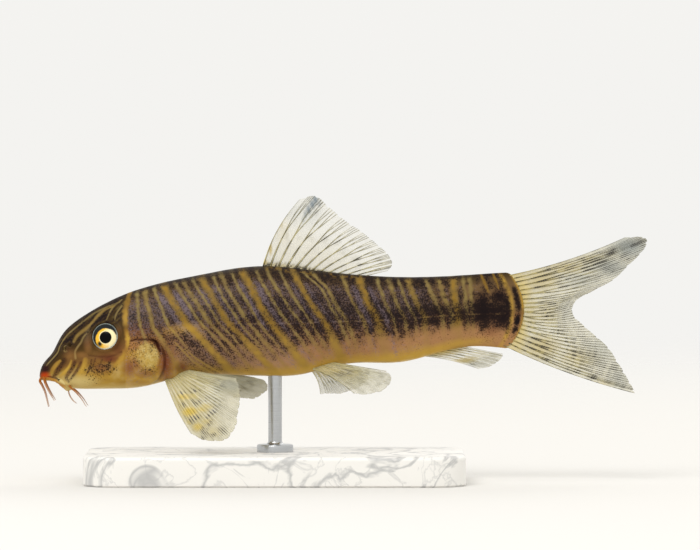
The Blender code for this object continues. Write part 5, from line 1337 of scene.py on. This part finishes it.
def closed_sheet(name, under, over, masks, finish):
    """A sheet between two like grids of points, closed round its edge."""
    columns, rows = under.shape[:2]
    c, r = np.meshgrid(np.arange(columns - 1), np.arange(rows - 1), indexing="ij")
    a = c * rows + r
    lower = np.stack([a, a + rows, a + rows + 1, a + 1], axis=-1).reshape(-1, 4)
    count = columns * rows
    faces = lower.tolist() + (lower[:, ::-1] + count).tolist()
    border = [i * rows for i in range(columns)]
    border += [(columns - 1) * rows + j for j in range(1, rows)]
    border += [i * rows + rows - 1 for i in range(columns - 2, -1, -1)]
    border += list(range(rows - 2, 0, -1))
    for here, there in zip(border, border[1:] + border[:1]):
        faces.append((there, here, here + count, there + count))
    points = np.vstack([under.reshape(-1, 3), over.reshape(-1, 3)])
    doubled = {mask: np.tile(values.ravel(), 2) for mask, values in masks.items()}
    across, out = np.meshgrid(np.linspace(0, 1, columns), np.linspace(0, 0.48, rows), indexing="ij")
    low_side = np.stack([across, out], axis=-1).reshape(-1, 2)
    spread = np.vstack([low_side, low_side + (0.0, 0.51)])
    return make_piece(f"clear_{name}", points, faces, finish, (name,), doubled, spread)


def barbel_finish(paint):
    """Cast resin barbel, tinted from orange brown at the root to a pale tan tip, satin varnished."""
    finish, tree, shader = new_finish(
        "tinted_resin_barbel",
        {"Roughness": 0.5, "Specular IOR Level": 0.1, "Coat Weight": 0.05, "Coat Roughness": 0.2},
    )
    mask = masks_of(tree, "along")
    where = put(tree, "ShaderNodeTexCoord").outputs["Object"]
    mottle = put(
        tree, "ShaderNodeTexNoise", {"Vector": where, "Scale": 1 / (BARBEL_MOTTLE * MM), "Detail": 3.0}
    )
    shifted = put(
        tree, "ShaderNodeMath", {0: mottle.outputs["Fac"], 1: 0.3, 2: -0.15}, operation="MULTIPLY_ADD"
    )
    share = put(tree, "ShaderNodeMath", {0: mask["along"], 1: shifted.outputs[0]}, operation="ADD").outputs[0]
    tip_share = put(tree, "ShaderNodeMapRange", {0: share, 1: 0.3, 2: 0.9}).outputs[0]
    colour = painted(tree, paint.root, ((tip_share, paint.tip),))
    tree.links.new(colour, shader.inputs["Base Color"])
    fade = put(tree, "ShaderNodeMapRange", {0: mask["along"], 1: 0.45, 2: 1.0, 3: 1.0, 4: 0.55}).outputs[0]
    tree.links.new(fade, shader.inputs["Alpha"])
    return finish


def build_barbels(node, paths, side_name, finish, size=1.0, paleness=0.0):
    """The barbels of one node as round tapering tubes."""
    side = SIDES[side_name]
    droop = BARBEL_DROOP if side > 0 else 0.0
    share = np.linspace(0.0, 1.0, BARBEL_RINGS)
    turn = 2 * math.pi * np.arange(BARBEL_SIDES)[:, None] / BARBEL_SIDES
    radius = spaced_curve([(size * r,) for r in BARBEL_RADII], share)[:, None]
    paler = paleness + (1 - paleness) * share
    points, faces, along = [], [], []
    for path in paths:
        course = spaced_curve([(s, side * y, h - droop * y) for s, y, h in path], share)
        ahead = np.gradient(course, axis=0)
        ahead /= np.linalg.norm(ahead, axis=1, keepdims=True)
        first = np.cross(ahead, (1.0, 0.0, 0.0))
        first /= np.linalg.norm(first, axis=1, keepdims=True)
        second = np.cross(ahead, first)
        around = np.cos(turn) * first[:, None] + np.sin(turn) * second[:, None]
        start = len(points)
        points += list((course[:, None] + radius * around).reshape(-1, 3))
        points += [course[0] - ahead[0] * 0.05, course[-1] + ahead[-1] * 0.06]
        along += [*np.repeat(paler, BARBEL_SIDES), paleness, 1.0]
        faces += [[start + i for i in face] for face in turned_faces(BARBEL_RINGS, BARBEL_SIDES)]
    return make_piece(
        f"soft_{node}", np.array(points), faces, finish, (node,), {"along": along}
    )


def marble_finish(look):
    """White marble, sawn and honed with fine grit: matt ground, soft grey veins a few millimetres apart."""
    finish, tree, shader = new_finish("honed_white_marble", {"Roughness": 0.42, "IOR": 1.5})
    where = put(tree, "ShaderNodeTexCoord").outputs["Object"]
    colour = look.marble
    for width, spacing, strength in ((0.03, 15 * MM, 0.9), (0.025, 6 * MM, 0.45)):
        folds = put(
            tree, "ShaderNodeTexNoise",
            {"Vector": where, "Scale": 1 / spacing, "Detail": 5.0, "Distortion": 1.4},
        )
        off = put(tree, "ShaderNodeMath", {0: folds.outputs["Fac"], 1: -0.5}, operation="ADD").outputs[0]
        off = put(tree, "ShaderNodeMath", {0: off}, operation="ABSOLUTE").outputs[0]
        vein = put(tree, "ShaderNodeMapRange", {0: off, 1: 0.0, 2: width, 3: strength, 4: 0.0}).outputs[0]
        colour = painted(tree, colour, ((vein, look.vein),))
    tree.links.new(colour, shader.inputs["Base Color"])
    grit = put(tree, "ShaderNodeTexNoise", {"Vector": where, "Scale": 1 / (MARBLE_GRIT * MM), "Detail": 2.0})
    rough = put(tree, "ShaderNodeMapRange", {0: grit.outputs["Fac"], 3: 0.36, 4: 0.5}).outputs[0]
    tree.links.new(rough, shader.inputs["Roughness"])
    relief = put(
        tree, "ShaderNodeBump", {"Strength": 0.2, "Distance": 0.01 * MM, "Height": grit.outputs["Fac"]}
    )
    tree.links.new(relief.outputs["Normal"], shader.inputs["Normal"])
    return finish


def steel_finish(look):
    """Stainless steel rod, turned and then brushed round: satin bands that circle the rod."""
    finish, tree, shader = new_finish("turned_stainless_steel", {"Metallic": 1.0, "Roughness": 0.28})
    where = put(tree, "ShaderNodeTexCoord").outputs["Object"]
    flat = put(tree, "ShaderNodeVectorMath", {0: where, 1: (0.02, 0.02, 1.0)}, operation="MULTIPLY")
    lines = put(
        tree, "ShaderNodeTexNoise",
        {"Vector": flat.outputs[0], "Scale": 1 / (STEEL_BRUSHING * MM), "Detail": 2.0},
    )
    colour = painted(tree, look.steel, ((lines.outputs["Fac"], linear("#c9cbcc")),))
    tree.links.new(colour, shader.inputs["Base Color"])
    rough = put(tree, "ShaderNodeMapRange", {0: lines.outputs["Fac"], 3: 0.2, 4: 0.42}).outputs[0]
    tree.links.new(rough, shader.inputs["Roughness"])
    return finish


def from_floor(points):
    """Points about the rod's axis and over the floor, in the fish's coordinates."""
    floor = place([(0.0, 0.0, 0.0)])[0][2] / MM
    return np.asarray(points) + (ROD_S, 0.0, -floor)


def build_base(finish):
    """A flat slab with round corners, its top edge rounded over."""
    profile = [(BASE_FOOT_CHAMFER, 0.0), (0.0, BASE_FOOT_CHAMFER)]
    for turn in QUARTER_TURN:
        inset = BASE_ROUNDING * (1 - math.cos(turn))
        profile.append((inset, BASE_HEIGHT - BASE_ROUNDING * (1 - math.sin(turn))))
    points = []
    for inset, height in profile:
        reach = BASE_CORNER - inset
        for quarter, (sign_x, sign_y) in enumerate(((1, 1), (-1, 1), (-1, -1), (1, -1))):
            middle_x = sign_x * (BASE_LENGTH / 2 - BASE_CORNER)
            middle_y = sign_y * (BASE_WIDTH / 2 - BASE_CORNER)
            for i in range(BASE_CORNER_STEPS + 1):
                turn = math.pi / 2 * (quarter + i / BASE_CORNER_STEPS)
                points.append((middle_x + reach * math.cos(turn), middle_y + reach * math.sin(turn), height))
    count = 4 * (BASE_CORNER_STEPS + 1)
    faces = ring_faces(len(profile), count)
    faces += [list(range(count)), list(range(len(points) - count, len(points)))]
    made = make_piece("marble_base", from_floor(points), faces, finish, ("stand_base",))
    made.data.set_sharp_from_angle(angle=SHARP_EDGE)


def build_rod(finish):
    """The rod with its collar, turned from one bar."""
    profile = [(ROD_RADIUS, ROD_TOP)]
    for turn in QUARTER_TURN:
        reach = ROD_RADIUS + ROD_FILLET * (1 - math.cos(turn))
        profile.append((reach, COLLAR_TOP + ROD_FILLET * (1 - math.sin(turn))))
    for inset, drop in ((COLLAR_ROUNDING, 0.0), (0.07, 0.07), (0.0, COLLAR_ROUNDING)):
        profile.append((COLLAR_RADIUS - inset, COLLAR_TOP - drop))
    profile.append((COLLAR_RADIUS, BASE_HEIGHT))
    turns = [2 * math.pi * k / ROD_SIDES for k in range(ROD_SIDES)]
    points = [(r * math.cos(turn), r * math.sin(turn), height) for r, height in profile for turn in turns]
    points += [(0.0, 0.0, ROD_TOP), (0.0, 0.0, BASE_HEIGHT)]
    faces = turned_faces(len(profile), ROD_SIDES)
    made = make_piece("steel_rod", from_floor(points), faces, finish, ("stand_rod",))
    made.data.set_sharp_from_angle(angle=SHARP_EDGE)


def floor_finish(colour):
    """Matt paper sweep: no gloss, and it fades into the white tent far behind the model."""
    finish, tree, shader = new_finish("matt_paper_sweep", {"Roughness": 0.9, "Specular IOR Level": 0.1})
    where = put(tree, "ShaderNodeTexCoord").outputs["Object"]
    away = put(tree, "ShaderNodeVectorMath", {0: where}, operation="LENGTH").outputs["Value"]
    fade = put(
        tree, "ShaderNodeMapRange", {0: away, 1: 0.12, 2: 0.55, 3: 1.0, 4: 0.0},
        interpolation_type="SMOOTHSTEP",
    )
    fibres = put(
        tree, "ShaderNodeTexNoise", {"Vector": where, "Scale": 1 / (PAPER_FIBRE * MM), "Detail": 3.0}
    )
    tint = put(tree, "ShaderNodeMapRange", {0: fibres.outputs["Fac"], 3: 0.0, 4: 0.06}).outputs[0]
    tree.links.new(painted(tree, colour, ((tint, linear("#d8d4cc")),)), shader.inputs["Base Color"])
    tree.links.new(fade.outputs[0], shader.inputs["Alpha"])
    return finish


def add_light(name, location, power, size):
    """A soft square light that looks at the middle of the fish."""
    data = bpy.data.lights.new(name, "AREA")
    data.energy = power
    data.size = size
    light = bpy.data.objects.new(name, data)
    light.location = location
    aim = Vector((0.0, 0.0, VIEW_MIDDLE[1] * MM)) - light.location
    light.rotation_euler = aim.to_track_quat("-Z", "Y").to_euler()
    bpy.context.scene.collection.objects.link(light)


def build_stage(look):
    """Floor, white tent, soft lights and the camera."""
    mesh = bpy.data.meshes.new("floor")
    bm = bmesh.new()
    bmesh.ops.create_circle(bm, cap_ends=True, segments=96, radius=0.6)
    bm.to_mesh(mesh)
    bm.free()
    mesh.materials.append(floor_finish(look.floor))
    floor = bpy.data.objects.new("floor", mesh)
    bpy.context.scene.collection.objects.link(floor)

    world = bpy.data.worlds.new("white_tent")
    world.use_nodes = True
    bpy.context.scene.world = world
    tree = world.node_tree
    where = put(tree, "ShaderNodeTexCoord").outputs["Generated"]
    height = put(tree, "ShaderNodeSeparateXYZ", {0: where}).outputs["Z"]
    bright = put(tree, "ShaderNodeMapRange", {0: height, 1: 0.0, 2: 1.0, 3: look.tent, 4: look.tent * 1.25})
    tree.links.new(bright.outputs[0], tree.nodes["Background"].inputs["Strength"])
    tree.nodes["Background"].inputs["Color"].default_value = linear("#fdfcf9")

    add_light("key_light", (-0.2, -0.42, 0.5), look.key, 0.3)
    add_light("back_light", (0.3, 0.45, 0.45), look.key * 0.5, 0.4)

    camera_data = bpy.data.cameras.new("camera")
    camera_data.sensor_width = SENSOR_WIDTH
    camera_data.lens = SENSOR_WIDTH * VIEW_DISTANCE / VIEW_WIDTH
    camera_data.clip_start = 0.01
    camera_data.clip_end = 20.0
    camera = bpy.data.objects.new("camera", camera_data)
    tilt = math.radians(VIEW_ELEVATION)
    away = Vector((0.0, -math.cos(tilt), math.sin(tilt))) * VIEW_DISTANCE * MM
    camera.location = Vector((VIEW_MIDDLE[0] * MM, 0.0, VIEW_MIDDLE[1] * MM)) + away
    camera.rotation_euler = (-away).to_track_quat("-Z", "Y").to_euler()
    bpy.context.scene.collection.objects.link(camera)
    bpy.context.scene.camera = camera
    bpy.context.scene.view_settings.view_transform = "Standard"


class LOACH_OT_skin(Operator):
    """Build the painted skin of the body"""

    bl_idname = "loach.skin"
    bl_label = "Painted Skin"

    def execute(self, context):
        build_skin(context.scene.loach_skin)
        return {"FINISHED"}


class LOACH_OT_eyes(Operator):
    """Build both glass eyes"""

    bl_idname = "loach.eyes"
    bl_label = "Glass Eyes"

    def execute(self, context):
        finish = eye_finish(context.scene.loach_eye)
        for side_name in SIDES:
            build_eye(side_name, finish)
        return {"FINISHED"}


class LOACH_OT_fins(Operator):
    """Build the clear fins with their split rays"""

    bl_idname = "loach.fins"
    bl_label = "Clear Fins"

    def execute(self, context):
        finish = fin_finish(context.scene.loach_fin)
        for name in FINS:
            build_fin(name, finish)
        return {"FINISHED"}


class LOACH_OT_barbels(Operator):
    """Build the four pairs of barbels"""

    bl_idname = "loach.barbels"
    bl_label = "Barbels"

    def execute(self, context):
        finish = barbel_finish(context.scene.loach_barbel)
        for side_name in SIDES:
            build_barbels(f"snout_barbels_{side_name}", SNOUT_BARBELS, side_name, finish)
            build_barbels(f"corner_barbel_{side_name}", CORNER_BARBELS, side_name, finish, size=0.85)
            build_barbels(f"chin_barbel_{side_name}", CHIN_BARBELS, side_name, finish, size=0.5, paleness=0.8)
        return {"FINISHED"}


class LOACH_OT_stand(Operator):
    """Build the marble base and the steel rod"""

    bl_idname = "loach.stand"
    bl_label = "Display Stand"

    def execute(self, context):
        look = context.scene.loach_stand
        build_base(marble_finish(look))
        build_rod(steel_finish(look))
        return {"FINISHED"}


class LOACH_OT_stage(Operator):
    """Set up the floor, the light and the camera"""

    bl_idname = "loach.stage"
    bl_label = "Studio Stage"

    def execute(self, context):
        build_stage(context.scene.loach_stage)
        return {"FINISHED"}


OPERATORS = (LOACH_OT_skin, LOACH_OT_eyes, LOACH_OT_fins, LOACH_OT_barbels, LOACH_OT_stand, LOACH_OT_stage)


class LOACH_PT_model(Panel):
    """Lists the pieces of the model"""

    bl_idname = "LOACH_PT_model"
    bl_label = "Zebra Loach"
    bl_space_type = "VIEW_3D"
    bl_region_type = "UI"
    bl_category = "Zebra Loach"

    def draw(self, context):
        column = self.layout.column(align=True)
        for operator in OPERATORS:
            column.operator(operator.bl_idname)


SETTINGS = {
    "loach_skin": LoachSkinPaint,
    "loach_eye": LoachEyePaint,
    "loach_fin": LoachFinCast,
    "loach_barbel": LoachBarbelPaint,
    "loach_stand": LoachStandFinish,
    "loach_stage": LoachStage,
}
CLASSES = (*SETTINGS.values(), *OPERATORS, LOACH_PT_model)


def register():
    for cls in CLASSES:
        bpy.utils.register_class(cls)
    for name, group in SETTINGS.items():
        setattr(bpy.types.Scene, name, PointerProperty(type=group))


def unregister():
    for name in SETTINGS:
        delattr(bpy.types.Scene, name)
    for cls in reversed(CLASSES):
        bpy.utils.unregister_class(cls)


def main():
    """Builds every piece and the stage."""
    register()
    bpy.ops.loach.skin()
    bpy.ops.loach.eyes()
    bpy.ops.loach.fins()
    bpy.ops.loach.barbels()
    bpy.ops.loach.stand()
    bpy.ops.loach.stage()


if __name__ == "__main__":
    main()
